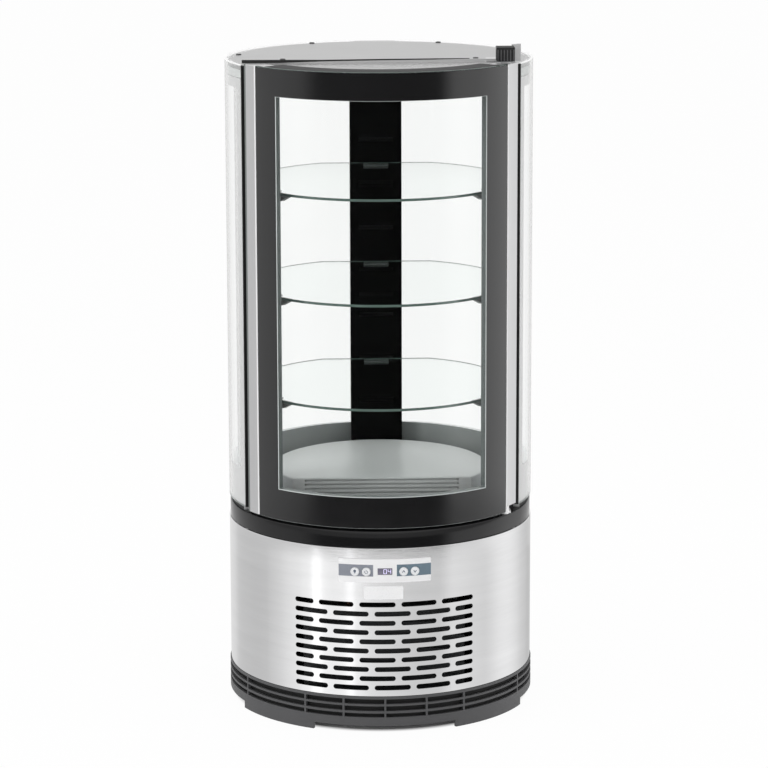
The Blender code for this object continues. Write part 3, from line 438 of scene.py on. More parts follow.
# Skirt: plastic ring on the counter with feet and three tiers of slots
skirt = {
    "inner": 0.2365, "outer": 0.2415, "top": 0.0576, "edge": 0.0009, "rounding": 0.00045,
    "notch": 0.011, "footCentres": (-135.0, -46.0, 46.0, 135.0), "footHalf": 18.75,
    "tiers": ((0.0245, 0.0310), (0.0346, 0.0425), (0.0457, 0.0536)), "slotStep": 2.0,
    "bar": 0.003, "barAngles": (0.0, 15.5, 30.75, 62.0, 94.5, 126.0, 157.5, 180.0),
    "liner": ((0.2335, 0.2345), (0.0160, 0.0572), 0, 360, 2.5),  # black sheet behind the slots, painted shade for the dark inside of the skirt
}


def makeSkirt():
    inner, outer, top, edge, step = (skirt[k] for k in ("inner", "outer", "top", "edge", "slotStep"))
    ring = makePiece("skirtRing", skirtGreyAndRibHighlightFinish, addSector, [
        (inner, 0), (outer, 0), (outer, top - edge), (outer - edge / 3, top - edge / 3),
        (outer - edge, top), (inner, top)], 0, 360, coarseStep)
    cutter = startPiece("skirtCutter")
    radii = through((inner, outer))
    feet, footHalf = skirt["footCentres"], skirt["footHalf"]
    for left, right in zip((feet[-1] - 360, *feet), feet):
        addWall(radii, (-overrun, skirt["notch"]), left + footHalf, right - footHalf, step)
    half = degrees(skirt["bar"] / outer) / 2
    for left, right in zip(skirt["barAngles"], skirt["barAngles"][1:]):
        for start, end in ((left, right), (-right, -left)):
            for tier in skirt["tiers"]:
                addWall(radii, tier, start + half, end - half, step)
    cutAway(ring, closePiece(cutter))
    softenEdges(ring, skirt["rounding"])
    fit(ring, "cabinet", "skirt_grey", "base_skirt")
    # painted shade: a black sheet behind the slots darkens the inside of the skirt
    fit(makePiece("skirtShadeLiner", slotShadeFinish, addWall, *skirt["liner"]), "cabinet", "black_plastic")


makeSkirt()
print("skirt done")


# Steel wrap with its staggered air slots
wrap = {
    "inner": 0.238, "outer": 0.240, "low": 0.0579, "high": 0.2930, "edge": 0.0004, "rounding": 0.00025,
    "rows": 10, "firstHeight": 0.0717, "rowPitch": 0.01473, "slotHeight": 0.0078, "reach": 34.9,
    "slotAngle": 13.4, "gapAngle": 2.1, "fullSlots": 4, "endSteps": 8,
    "rearRows": 4, "rearSlots": 3, "rearFirstHeight": 0.155, "rearPitch": 0.029,
    "seam": (0.0300, 0.2372, 0.0307, 0.2460), "seamHeights": ((0.0519, 0.1428), (0.2545, 0.2990)),
}
bezel = {
    "halfAngle": 17.1, "heights": (0.240, 0.277), "radii": (0.2320, 0.2415), "corner": 0.0013,
    "step": 1.1, "play": 0.0003, "rounding": 0.0004, "displayHalf": 0.0110, "display": (0.2525, 0.2625),
    "printAngles": (4.3, 17.05), "print": ((0.2413, 0.2416), (0.2498, 0.2682)), "printStep": 0.8,
}
inlet = {"height": 0.095, "halfWidth": 0.0155, "halfHeight": 0.012, "play": 0.0003}


def slotPoints(start, end, height, radius):
    half = wrap["slotHeight"] / 2
    cap = degrees(half / wrap["outer"])
    points = []
    for middle, first in ((end - cap, -90.0), (start + cap, 90.0)):
        for i in range(wrap["endSteps"] + 1):
            lean = radians(first + 180.0 * i / wrap["endSteps"])
            points.append(polar(radius, middle + cap * cos(lean), height + half * sin(lean)))
    return points


def slotSpans():  # start, end and height of every slot
    full, wide, gap, reach = (wrap[k] for k in ("fullSlots", "slotAngle", "gapAngle", "reach"))
    pitch = wide + gap
    for row in range(wrap["rows"]):
        widths = full * [wide]
        widths.insert(0 if row % 2 else full, 2 * reach - full * pitch)
        start = -reach
        for width in widths:
            yield start, start + width, wrap["firstHeight"] + row * wrap["rowPitch"]
            start += width + gap
    for row in range(wrap["rearRows"]):
        for column in range(wrap["rearSlots"]):
            start = 180.0 + (column - wrap["rearSlots"] / 2) * pitch + gap / 2
            yield start, start + wide, wrap["rearFirstHeight"] + row * wrap["rearPitch"]


def makeWrap():
    inner, outer, low, high, edge = (wrap[k] for k in ("inner", "outer", "low", "high", "edge"))
    panel = makePiece("steelWrap", steelWrapFinish, addSector, [
        (inner, low), (outer - edge, low), (outer, low + edge), (outer, high - edge),
        (outer - edge, high), (inner, high)], 0, 360, coarseStep)
    cutter = startPiece("wrapCutter")
    inside, beyond = through((inner, outer))
    for start, end, height in slotSpans():
        drawOutline(slotPoints(start, end, height, inside))
        bpy.ops.mesh.extrude_region()
        bpy.ops.transform.resize(value=(beyond / inside, beyond / inside, 1), center_override=(0, 0, 0))
    play = bezel["play"]
    reach = bezel["halfAngle"] + degrees(play / outer)
    bezelLow, bezelHigh = bezel["heights"]
    addWall((inside, beyond), (bezelLow - play, bezelHigh + play), -reach, reach, 2 * bezel["step"])
    wide, tall = inlet["halfWidth"] + inlet["play"], inlet["halfHeight"] + inlet["play"]
    addBlock((-wide, inside, inlet["height"] - tall), (wide, beyond, inlet["height"] + tall))
    cutAway(panel, closePiece(cutter))
    softenEdges(panel, wrap["rounding"], segments=1)
    seam = startPiece("seamCutter")  # the joint where the sheet's ends meet
    left, back, right, front = wrap["seam"]
    for bottom, top in wrap["seamHeights"]:
        addBlock((left, back, bottom), (right, front, top))
    cutAway(panel, closePiece(seam))
    smoothShade()
    fit(panel, "cabinet", "brushed_steel", "body_panel")


makeWrap()
print("steel wrap done")


# Controls: bezel, printed blocks, display, buttons and the blank badge
button = {
    "radius": 0.0066, "face": 0.2426, "back": 0.2325, "height": 0.257, "rounding": 0.0007, "step": 7.5,
    "hole": 0.0071, "angles": {"lamp": -11.008, "power": -6.809, "up": 6.809, "down": 11.008},
    "dish": ((0.72, 0.0), (0.66, 0.00012), (0.0, 0.00018)),  # share of the radius, and depth
}
icon = {
    "rise": 0.00009, "thick": 0.00015, "halfLine": 0.000375, "ring": 0.0024, "ringStart": 40, "ringTurn": 280,
    "ringSteps": 20, "bulb": 0.0021, "bulbRise": 0.0012, "bulbSides": 24,
    "arrow": ((0, 0.0026), (-0.0026, -0.0009), (-0.0016, -0.0016), (0, 0.0006), (0.0016, -0.0016),
              (0.0026, -0.0009)),
    "bars": {"power": ((0, 0.0018, 0.000375, 0.0013),),  # x, z, half the width and height
             "lamp": ((0, -0.0022, 0.0011, 0.000375), (0, -0.0011, 0.0011, 0.000375))},
}
display = {
    "sunk": 0.00015, "depth": 0.004, "rounding": 0.0003, "digitRise": 0.00002, "digitDepth": 0.0004,
    "wide": 0.0021, "tall": 0.0034, "line": 0.00036, "gap": 0.0001,
    "digits": ((0.0002, "abcdef"), (0.0068, "bcfg")),
}
badge = {
    "halfAngle": 7.2, "shift": -0.5, "heights": (0.2130, 0.2340), "radii": (0.2401, 0.2408),
    "corner": 0.0018, "rounding": 0.00015, "step": 0.9,
}


def makeTile(name, finish, tile):  # a curved plate with its four corners rounded
    half, (low, high) = tile["halfAngle"], tile["heights"]
    plate = makePiece(name, finish, addWall, tile["radii"], tile["heights"], -half, half, tile["step"])

    def onCorner(first, second):
        return abs(first.z - second.z) < closeBy and all(
            abs(angleOf(point) - half) < 0.01 and min(abs(point.z - low), abs(point.z - high)) < closeBy
            for point in (first, second))

    bevelEdges(plate, onCorner, tile["corner"], 6)
    return plate


def cutButtonHoles(plate):
    cutter = startPiece("buttonCutter")
    back, front = through(bezel["radii"])
    for angle in button["angles"].values():
        addRod(button["hole"], polar(back, angle, button["height"]), polar(front, angle, button["height"]))
    cutAway(plate, closePiece(cutter))


def makeBezel():
    plate = makeTile("controlBezel", bezelFinish, bezel)
    cutButtonHoles(plate)
    wide, (low, high), play = bezel["displayHalf"], bezel["display"], bezel["play"]
    back, front = through(bezel["radii"])
    cutOut(plate, addBlock, (-wide - play, -front, low - play), (wide + play, -back, high + play))
    softenEdges(plate, bezel["rounding"])
    fit(plate, "cabinet", "satin_aluminium", "control_bezel")
    near, far = bezel["printAngles"]
    for side, finish, span in (("left", leftSlateFinish, (-far, -near)),
                               ("right", rightSlateFinish, (near, far))):
        block = makePiece(side + "Print", finish, addWall, *bezel["print"], *span, bezel["printStep"])
        cutButtonHoles(block)
        smoothShade()
        fit(block, "cabinet", "black_gloss")


def markOutlines(name):  # the symbol's flat shapes about the middle of its button
    if name == "power":
        ring, half, steps = icon["ring"], icon["halfLine"], icon["ringSteps"]
        turns = [radians(icon["ringStart"] + icon["ringTurn"] * i / steps) for i in range(steps + 1)]
        return [[((ring + w) * sin(t), (ring + w) * cos(t))
                 for t, w in ((here, -half), (here, half), (there, half), (there, -half))]
                for here, there in zip(turns, turns[1:])]
    if name == "lamp":
        turns = [radians(360 / icon["bulbSides"] * i) for i in range(icon["bulbSides"])]
        return [[(icon["bulb"] * sin(t), icon["bulbRise"] + icon["bulb"] * cos(t)) for t in turns]]
    way = 1 if name == "up" else -1
    return [[(x, way * z) for x, z in icon["arrow"]]]


def makeButtons():
    radius, soft, face, back, tall = (button[k] for k in ("radius", "rounding", "face", "back", "height"))
    profile = [(0, back), (radius, back), (radius, face - soft), (radius - soft * 0.3, face - soft * 0.3),
               (radius - soft, face), *[(radius * share, face - depth) for share, depth in button["dish"]]]
    front = icon["rise"] - face
    behind = front + icon["thick"]
    for name, angle in button["angles"].items():
        cap = startPiece(name + "Button")
        drawOutline([(0, -depth, tall + r) for r, depth in profile])
        spinOutline(0, 360, button["step"], centre=(0, -face, tall), axis=(0, 1, 0))
        closePiece(cap, buttonFinish)
        fit(turnPiece(cap, angle), name + "_button", "black_plastic", name + "_button")
        mark = startPiece(name + "Mark")
        for x, z, wide, high in icon["bars"].get(name, ()):
            addBlock((x - wide, front, tall + z - high), (x + wide, behind, tall + z + high))
        for outline in markOutlines(name):
            drawOutline([(x, behind, tall + z) for x, z in outline])
            pushOut((0, front - behind, 0))
        closePiece(mark, iconFinish)
        fit(turnPiece(mark, angle), name + "_button", "black_gloss")


def makeDisplay():
    face, half, (low, high) = -bezel["radii"][1], bezel["displayHalf"], bezel["display"]
    lens = makePiece("displayLens", displayFinish, addBlock, (-half, face + display["sunk"], low),
                     (half, face + display["depth"], high), display["rounding"])
    fit(lens, "cabinet", "black_gloss", "display_lens")
    wide, tall, line, gap = (display[k] for k in ("wide", "tall", "line", "gap"))
    bars = {"a": (0, tall, wide, line), "g": (0, 0, wide, line), "d": (0, -tall, wide, line),
            "b": (wide, tall / 2, line, tall / 2), "c": (wide, -tall / 2, line, tall / 2),
            "f": (-wide, tall / 2, line, tall / 2), "e": (-wide, -tall / 2, line, tall / 2)}
    digits = startPiece("displayDigits")
    for x, shown in display["digits"]:
        for key in shown:
            dx, dz, halfWide, halfTall = bars[key]
            middle = (low + high) / 2 + dz
            addBlock((x + dx - halfWide, face - display["digitRise"], middle - halfTall + gap),
                     (x + dx + halfWide, face + display["digitDepth"], middle + halfTall - gap))
    closePiece(digits, digitFinish)
    fit(digits, "cabinet", "led_white")


def makeBadge():
    plate = makeTile("badgePlate", badgeFinish, badge)
    softenEdges(plate, badge["rounding"], segments=1)
    fit(turnPiece(plate, badge["shift"]), "cabinet", "deck_white")


makeBezel()
makeButtons()
makeDisplay()
makeBadge()
print("controls done")


# Deck: glossy band, inner collar and the slatted floor pan
band = {
    "inner": 0.206, "outer": 0.2385, "low": 0.2933, "high": 0.3200, "foot": 0.0006, "edge": 0.0016,
    "shoulder": 0.0005,
}
collar = {
    "start": 66.4, "inner": 0.213, "outer": 0.216, "flange": 0.236, "low": 0.3203, "ledge": 0.3277,
    "high": 0.391, "lip": 0.0008, "pale": 122.0,
}
pan = {
    "radius": 0.170, "front": 0.097, "low": 0.3203, "high": 0.3710, "sheet": 0.0015, "slats": 4,
    "slatLow": 0.3450, "slatPitch": 0.0068, "slatHeight": 0.0032, "slatHalf": 0.120, "edge": 0.0022,
    # the last entry is a pale plate behind the slats: painted light for the reflection over them
    "rounding": 0.0003, "paintedLightPlate": ((-0.118, -0.0935, 0.3400), (0.118, -0.0925, 0.3690)),
}


def chordOutline(radius, depth):  # a circle cut off flat at y = -depth
    side = degrees(acos(depth / radius))
    return arcPoints(radius, side, 360 - side, coarseStep)


def makeDeck():
    inner, outer, low, high = (band[k] for k in ("inner", "outer", "low", "high"))
    foot, edge, shoulder = band["foot"], band["edge"], band["shoulder"]
    ring = makePiece("deckBand", bandFinish, addSector, [
        (inner, low), (outer - foot, low), (outer, low + foot), (outer, high - edge),
        (outer - shoulder, high - shoulder), (outer - edge, high), (inner, high)], 0, 360, coarseStep)
    fit(ring, "cabinet", "black_gloss", "deck_band")

    inner, outer, low, high = (collar[k] for k in ("inner", "outer", "low", "high"))
    flange, ledge, lip = collar["flange"], collar["ledge"], collar["lip"]
    wall = makePiece("innerCollar", collarFinish, addSector, [
        (inner, low), (flange, low), (flange, ledge), (outer, ledge), (outer, high - lip),
        (outer - lip, high), (inner + lip, high), (inner, high - lip)],
        collar["start"], 360 - collar["start"], coarseStep)
    paintFaces(wall, whiteRimAndHighlightFinish, lambda centre, normal: angleOf(centre) < collar["pale"]
               or outward(centre, normal) > facing)
    paintFaces(wall, rubberFinish, lambda centre, normal: centre.xy.length > outer + 0.0005
               and centre.z < ledge + 0.001)
    fit(wall, "cabinet", "painted_grey", "inner_collar")

    radius, front, low, high, sheet = (pan[k] for k in ("radius", "front", "low", "high", "sheet"))
    floor = makePiece("floorPan", panFinish, addPlate, chordOutline(radius, front), low, high)
    bevelEdges(floor, lambda a, b: a.z > high - weld and b.z > high - weld, pan["edge"], 4)
    cutOut(floor, addPlate, chordOutline(radius - sheet, front - sheet), low - overrun, high - sheet)
    slats = startPiece("panSlats")
    for i in range(pan["slats"]):
        low = pan["slatLow"] + i * pan["slatPitch"]
        addBlock((-pan["slatHalf"], -front - overrun, low),
                 (pan["slatHalf"], 2 * sheet - front, low + pan["slatHeight"]))
    cutAway(floor, closePiece(slats))
    softenEdges(floor, pan["rounding"], segments=1)
    fit(floor, "cabinet", "brushed_steel", "deck_pan")
    paintedLightPlate = makePiece("panPaintedLightPlate", deckFinish, addBlock, *pan["paintedLightPlate"])  # pale plate behind the slats: painted light for the reflection that lightens them
    fit(paintedLightPlate, "cabinet", "deck_white")


makeDeck()
print("deck done")


# Side glass with its silver print, and the rear spine
glass = {
    "outer": (0.236, 0.240), "inner": (0.222, 0.226), "low": 0.328, "step": 1.0, "high": 1.021,
    "angles": (63.0, 170.5), "edge": 0.0005,
}
sidePrint = {
    "radii": (0.23560, 0.23585), "heights": (0.329, 0.9995), "angles": (63.1, 170.4),
    "windowHeights": (0.3877, 0.984), "windowAngles": (68.0, 169.7),
}
endSeal = {"radii": (0.2265, 0.2400), "heights": (0.3285, 1.0205), "angles": (62.45, 62.95), "step": 0.5}
sideSpacer = {  # the sealed rim between the two leaves
    "radii": (0.2262, 0.2354), "heights": (0.329, 0.9995), "angles": (63.15, 170.35), "edge": 0.0002,
    "windowHeights": (0.342, 0.988), "windowAngles": (65.6, 169.6),
}
spine = {
    "start": 170.8, "end": 189.2, "inner": 0.2163, "outer": 0.2395, "lip": 0.2363, "bare": 0.034,
    "top": 1.0195, "edge": 0.001, "rounding": 0.0004, "grooves": (174.0, 186.0), "grooveHalf": 0.35,
    "grooveRadii": (0.2386, 0.2455), "grooveHeights": (0.340, 1.009),
}


def ringProfile(radii, heights, edge):
    (inner, outer), (low, high) = radii, heights
    return [(inner + edge, low), (outer - edge, low), (outer, low + edge), (outer, high - edge),
            (outer - edge, high), (inner + edge, high), (inner, high - edge), (inner, low + edge)]


def paintEdges(piece, finish):  # the ground edges of a pane
    paintFaces(piece, finish, lambda centre, normal: abs(outward(centre, normal)) < facing)


def makeSideGlass():
    for side in ("right", "left"):
        def span(angles):
            return angles if side == "right" else (360 - angles[1], 360 - angles[0])

        low, sides = glass["low"], span(glass["angles"])
        pane = makePiece(side + "OuterPane", paneFinish, addSector,
                         ringProfile(glass["outer"], (low, glass["high"]), glass["edge"]), *sides)
        paintEdges(pane, paneEdgeFinish)
        paintFaces(pane, whiteRimAndHighlightFinish, lambda centre, normal: normal.z > 0.3)
        fit(pane, "cabinet", "clear_glass", side + "_side_glass")
        pane = makePiece(side + "InnerPane", paneFinish, addSector,
                         ringProfile(glass["inner"], (low, glass["step"]), glass["edge"]), *sides)
        paintEdges(pane, paneEdgeFinish)
        fit(pane, "cabinet", "clear_glass")

        sheet = makePiece(side + "SilverPrint", silverPrintFinish, addWall, sidePrint["radii"],
                          sidePrint["heights"], *span(sidePrint["angles"]), coarseStep)
        cutWindow(sheet, sidePrint["radii"], sidePrint["windowHeights"],
                  *span(sidePrint["windowAngles"]), coarseStep)
        # painted light: the print's inward faces glow white
        paintFaces(sheet, printBackPaintedLightFinish, lambda centre, normal: outward(centre, normal) < -facing)
        fit(sheet, "cabinet", "satin_aluminium")

        seal = makePiece(side + "EndSeal", rubberFinish, addWall, endSeal["radii"], endSeal["heights"],
                         *span(endSeal["angles"]), endSeal["step"])
        fit(seal, "cabinet", "black_rubber")

        profile = ringProfile(sideSpacer["radii"], sideSpacer["heights"], sideSpacer["edge"])
        spacer = makePiece(side + "GlassSpacer", whiteRimAndHighlightFinish, addSector, profile,
                           *span(sideSpacer["angles"]), coarseStep)
        cutWindow(spacer, sideSpacer["radii"], sideSpacer["windowHeights"],
                  *span(sideSpacer["windowAngles"]), coarseStep)
        fit(spacer, "cabinet", "painted_grey")


def makeSpine():
    inner, outer, lip, top, edge = (spine[k] for k in ("inner", "outer", "lip", "top", "edge"))
    low, step = glass["low"], glass["step"]
    back = makePiece("rearSpine", blackPlasticFinish, addSector, [
        (inner, low), (outer - edge, low), (outer, low + edge), (outer, top - edge), (outer - edge, top),
        (lip, top), (lip, step), (inner, step)], spine["start"], spine["end"])
    paintFaces(back, whiteRimAndHighlightFinish, lambda centre, normal: abs(centre.x) > spine["bare"]
               and outward(centre, normal) < facing)
    grooves = startPiece("spineGrooves")
    half = spine["grooveHalf"]
    for angle in spine["grooves"]:
        addWall(spine["grooveRadii"], spine["grooveHeights"], angle - half, angle + half, half)
    cutAway(back, closePiece(grooves))
    softenEdges(back, spine["rounding"])
    fit(back, "cabinet", "black_plastic", "rear_spine")


makeSideGlass()
makeSpine()
print("side glass done")


# Top cover with its bright rim, and the screws
cover = {
    "radius": 0.234, "low": 1.0133, "high": 1.0200, "bevel": 0.0025, "rim": 0.0035, "dip": 0.0003,
    "dipWidth": 0.0004, "smooth": 20.0, "front": 0.108, "flangeFront": -0.1113, "flangeBack": -0.1085,
    # x, and the lower and upper edge of the dark strip, painted shade along the cover's front edge
    "seal": ((-0.212, 1.0240, 1.0290), (-0.150, 1.0243, 1.0288), (-0.090, 1.0262, 1.0285),
             (-0.045, 1.0268, 1.0289), (0.0, 1.0274, 1.0293), (0.080, 1.0280, 1.0296),
             (0.135, 1.0290, 1.0297)),
    "flange": ((0.1805, 1.0287), (0.1805, 1.0246), (0.1578, 1.0246), (0.1578, 1.0145),
               (-0.1858, 1.0145), (-0.1858, 1.0214), (-0.212, 1.0214)),
}
screw = {
    "radius": 0.0043, "height": 0.0017, "foot": 0.001, "rounding": 0.0006, "sides": 24,
    "socket": 0.0019, "socketDepth": 0.0009, "socketSides": 6,
    "places": (polar(0.2245, -153), polar(0.2245, 153), polar(0.2225, -101), polar(0.2225, 101),
               (-0.1495, -0.029, 0), (0.1495, -0.025, 0)),
    # at the back: angles, radius and heights
    "rear": (((168, 192), 0.2391, (0.075, 0.280)), ((180,), 0.2387, (0.345, 0.670, 1.000))),
}


def addScrew(middle, normal):
    middle, normal = Vector(middle), Vector(normal).normalized()
    addRod(screw["radius"], middle - normal * screw["foot"], middle + normal * screw["height"],
           screw["sides"], screw["rounding"])


def makeCover():
    high = cover["high"]
    top = high - weld
    lid = makePiece("topCover", coverFinish, addPlate, chordOutline(cover["radius"], cover["front"]),
                    cover["low"], high)
    bevelEdges(lid, lambda a, b: a.z > top and b.z > top, cover["bevel"], 3)
    selectPart(lid, lambda centre, normal: centre.z > top and normal.z > 0.99, "FACE")
    bpy.ops.mesh.inset(thickness=cover["rim"])
    bpy.ops.mesh.inset(thickness=cover["dipWidth"])
    bpy.ops.transform.translate(value=(0, 0, -cover["dip"]))
    leavePart()
    pickOnly(lid)
    smoothShade(cover["smooth"])
    paintFaces(lid, polishedFinish, lambda centre, normal: normal.z > 0.1
               and (normal.z < 0.99 or centre.z > top))
    fit(lid, "cabinet", "satin_aluminium", "top_cover")

    seam = [(x, low) for x, low, _ in cover["seal"]]
    edge = [(x, high) for x, _, high in cover["seal"]]
    front, back = cover["flangeFront"], cover["flangeBack"]
    for name, outline, finish, slot in (
            # the black strip along the cover's front is painted shade under its edge
            ("lidShadeStrip", seam + edge[::-1], rubberFinish, "black_rubber"),
            ("lidFlange", seam + list(cover["flange"]), silverPrintFinish, "satin_aluminium")):
        strip = startPiece(name)
        drawOutline([(x, front, z) for x, z in outline])
        pushOut((0, back - front, 0))
        closePiece(strip, finish)
        fit(strip, "cabinet", slot)


def makeScrews():
    seat = cover["high"] - cover["dip"]
    top = seat + screw["height"]
    heads = startPiece("coverScrews")
    for x, y, _ in screw["places"]:
        addScrew((x, y, seat), (0, 0, 1))
    closePiece(heads, screwFinish)
    sockets = startPiece("socketCutter")
    for x, y, _ in screw["places"]:
        addRod(screw["socket"], (x, y, top - screw["socketDepth"]), (x, y, top + overrun),
               screw["socketSides"])
    cutAway(heads, closePiece(sockets))
    smoothShade()
    fit(heads, "cabinet", "brushed_steel")

    rear = startPiece("rearScrews")
    for angles, radius, heights in screw["rear"]:
        for height in heights:
            for angle in angles:
                addScrew(polar(radius, angle, height), polar(1, angle))
    closePiece(rear, screwFinish)
    fit(rear, "cabinet", "brushed_steel")


makeCover()
makeScrews()
print("top done")


# Glass shelves with their clips and clear bumpers
shelf = {"radius": 0.204, "back": 0.184, "thick": 0.004, "edge": 0.0005, "tops": (0.504, 0.666, 0.828)}
clip = {
    "start": 45.0, "ramp": 49.5, "post": 59.99, "end": 64.0, "radii": (0.194, 0.2035), "tab": 0.2062,
    "tip": 0.0015, "height": 0.009, "seat": 0.0003, "step": 0.5, "rounding": 0.0004,
}
bumper = {"place": (0.1985, 52.0), "radius": 0.0045, "height": 0.0026, "sides": 24, "rounding": 0.0012}


def makeShelves():
    side = 180 - degrees(acos(shelf["back"] / shelf["radius"]))
    top, thick = shelf["tops"][0], shelf["thick"]
    plate = makePiece("glassShelf1", shelfFinish, addPlate,
                      arcPoints(shelf["radius"], -side, side, coarseStep), top - thick, top)
    bevelEdges(plate, lambda a, b: abs(a.z - b.z) < weld, shelf["edge"], 2)
    paintFaces(plate, edgeFinish, lambda centre, normal: abs(normal.z) < facing)

    under = top - thick - clip["seat"]
    low, outer = under - clip["height"], clip["radii"][1]
    hook = makePiece("rightClip1", clipGreyAndShadeFinish, addWall, clip["radii"], (low, under), clip["start"],
                     clip["end"], clip["step"])
    for vertex in hook.data.vertices:  # the nose slopes and the foot reaches the post
        spot = angleOf(vertex.co)
        if vertex.co.z < under - weld and spot < clip["ramp"]:
            share = (clip["ramp"] - spot) / (clip["ramp"] - clip["start"])
            vertex.co.z = low + share * (clip["height"] - clip["tip"])
        if spot > clip["post"] and vertex.co.xy.length > outer - weld:
            vertex.co.xy *= clip["tab"] / outer
    softenEdges(hook, clip["rounding"])
    middle = Vector(polar(*bumper["place"], top))
    pad = makePiece("rightBumper1", bumperFinish, addRod, bumper["radius"], middle,
                    middle + Vector((0, 0, bumper["height"])), bumper["sides"], bumper["rounding"])

    for number, height in enumerate(shelf["tops"], 1):
        rise = (0, 0, height - top)
        if number > 1:
            fit(copyPiece(plate, f"glassShelf{number}", rise), "cabinet", "clear_glass", f"shelf_{number}")
            fit(copyPiece(hook, f"rightClip{number}", rise), "cabinet", "painted_grey",
                f"right_clip_{number}")
            fit(copyPiece(pad, f"rightBumper{number}", rise), "cabinet", "clear_glass")
        fit(copyPiece(hook, f"leftClip{number}", rise, mirror=True), "cabinet", "painted_grey",
            f"left_clip_{number}")
        fit(copyPiece(pad, f"leftBumper{number}", rise, mirror=True), "cabinet", "clear_glass")
    fit(plate, "cabinet", "clear_glass", "shelf_1")
    fit(hook, "cabinet", "painted_grey", "right_clip_1")
    fit(pad, "cabinet", "clear_glass")


makeShelves()
print("shelves done")


# Door: curved double glazing between aluminium stiles
leaf = {
    "low": 0.3246, "high": 1.024, "outer": (0.236, 0.240), "angle": 52.8, "edge": 0.0005,
    "inner": (0.218, 0.222), "innerAngle": 49.0, "innerHeights": (0.3403, 0.9917), "innerEdge": 0.0004,
    "printRadii": (0.24004, 0.24014),  # below: heights, then angles
    "print": ((0.3252, 1.0224), -52.7, 52.7), "window": ((0.373, 0.981), -42.35, 41.1),
    # the next entry is a pale band round the print's window: a painted highlight along its edge
    "rim": ((0.3742, 0.9806), -41.99, 40.74),
    "spacer": ((0.2223, 0.2356), (0.365, 0.990), -45.0, 45.0), "spacerWindow": (0.3728, 0.9822),
    "spacerAngles": (-43.95, 42.55), "dot": ((-0.0004, -0.2335, 0.376), (0.0004, -0.2318, 0.3777)),
    "dotPitch": 0.0032, "dotCount": 188, "joint": 0.3,
    "back": 0.1123, "stileEdge": 60.5, "stileCorner": 0.202, "stileInner": 0.178, "stileRadius": 0.215,
    "stileFront": 0.23565, "stileRounding": 0.0008, "hingeStileLow": 0.333, "highlightRadius": 0.2394,
    "highlightAngle": 0.6, "shadeAngle": 59.3, "shadeRadius": 0.2335,
    "pin": (0.190, -0.133), "pinHole": 0.0033, "pinHoleHeights": ((0.327, 0.3458), (1.0112, 1.030)),
    "railTop": 0.992, "railBottom": 0.340, "railPlay": 0.0003, "railRounding": 0.0006,
    "topJoint": ((0.2000, 0.2357), (1.0238, 1.0242), -48.7, 48.7),  # sealant, seen from above
}


def makeDoorGlass():
    angle, inside = leaf["angle"], leaf["innerAngle"]
    pane = makePiece("doorGlass", doorGlassFinish, addSector, ringProfile(
        leaf["outer"], (leaf["low"], leaf["high"]), leaf["edge"]), -angle, angle)
    paintEdges(pane, printFinish)
    paintFaces(pane, edgeFinish, lambda centre, normal: normal.z > 0.3 and outward(centre, normal) > 0.125)
    paintFaces(pane, paneEdgeFinish, lambda centre, normal: normal.z < -0.3)
    fit(pane, "door", "clear_glass", "door_outer_pane")
    for name, finish, whole, opening, slot in (
            ("doorPrint", printFinish, "print", "window", "black_gloss"),
            # a pale band round the print's window, painted highlight along its edge
            ("printEdgeHighlight", dotAndHighlightFinish, "window", "rim", "satin_aluminium")):
        sheet = makePiece(name, finish, addWall, leaf["printRadii"], *leaf[whole])
        cutWindow(sheet, leaf["printRadii"], *leaf[opening])
        fit(sheet, "door", slot)
    pane = makePiece("doorInnerGlass", paneFinish, addSector, ringProfile(
        leaf["inner"], leaf["innerHeights"], leaf["innerEdge"]), -inside, inside)
    paintEdges(pane, edgeFinish)
    fit(pane, "door", "clear_glass", "door_inner_pane")

    spacer = makePiece("doorSpacer", spacerFinish, addWall, *leaf["spacer"], coarseStep)
    cutWindow(spacer, leaf["spacer"][0], leaf["spacerWindow"], *leaf["spacerAngles"], coarseStep)
    fit(spacer, "door", "painted_grey", "door_spacer")
    dots = makePiece("spacerDots", dotAndHighlightFinish, addBlock, *leaf["dot"])  # vent dots along the spacer
    applyModifier(dots, "ARRAY", count=leaf["dotCount"], use_relative_offset=False,
                  use_constant_offset=True, constant_offset_displace=(0, 0, leaf["dotPitch"]))
    twin = copyPiece(dots, "leftSpacerDots")
    for made, spot in zip((twin, dots), leaf["spacerAngles"]):
        fit(turnPiece(made, spot), "door", "painted_grey")


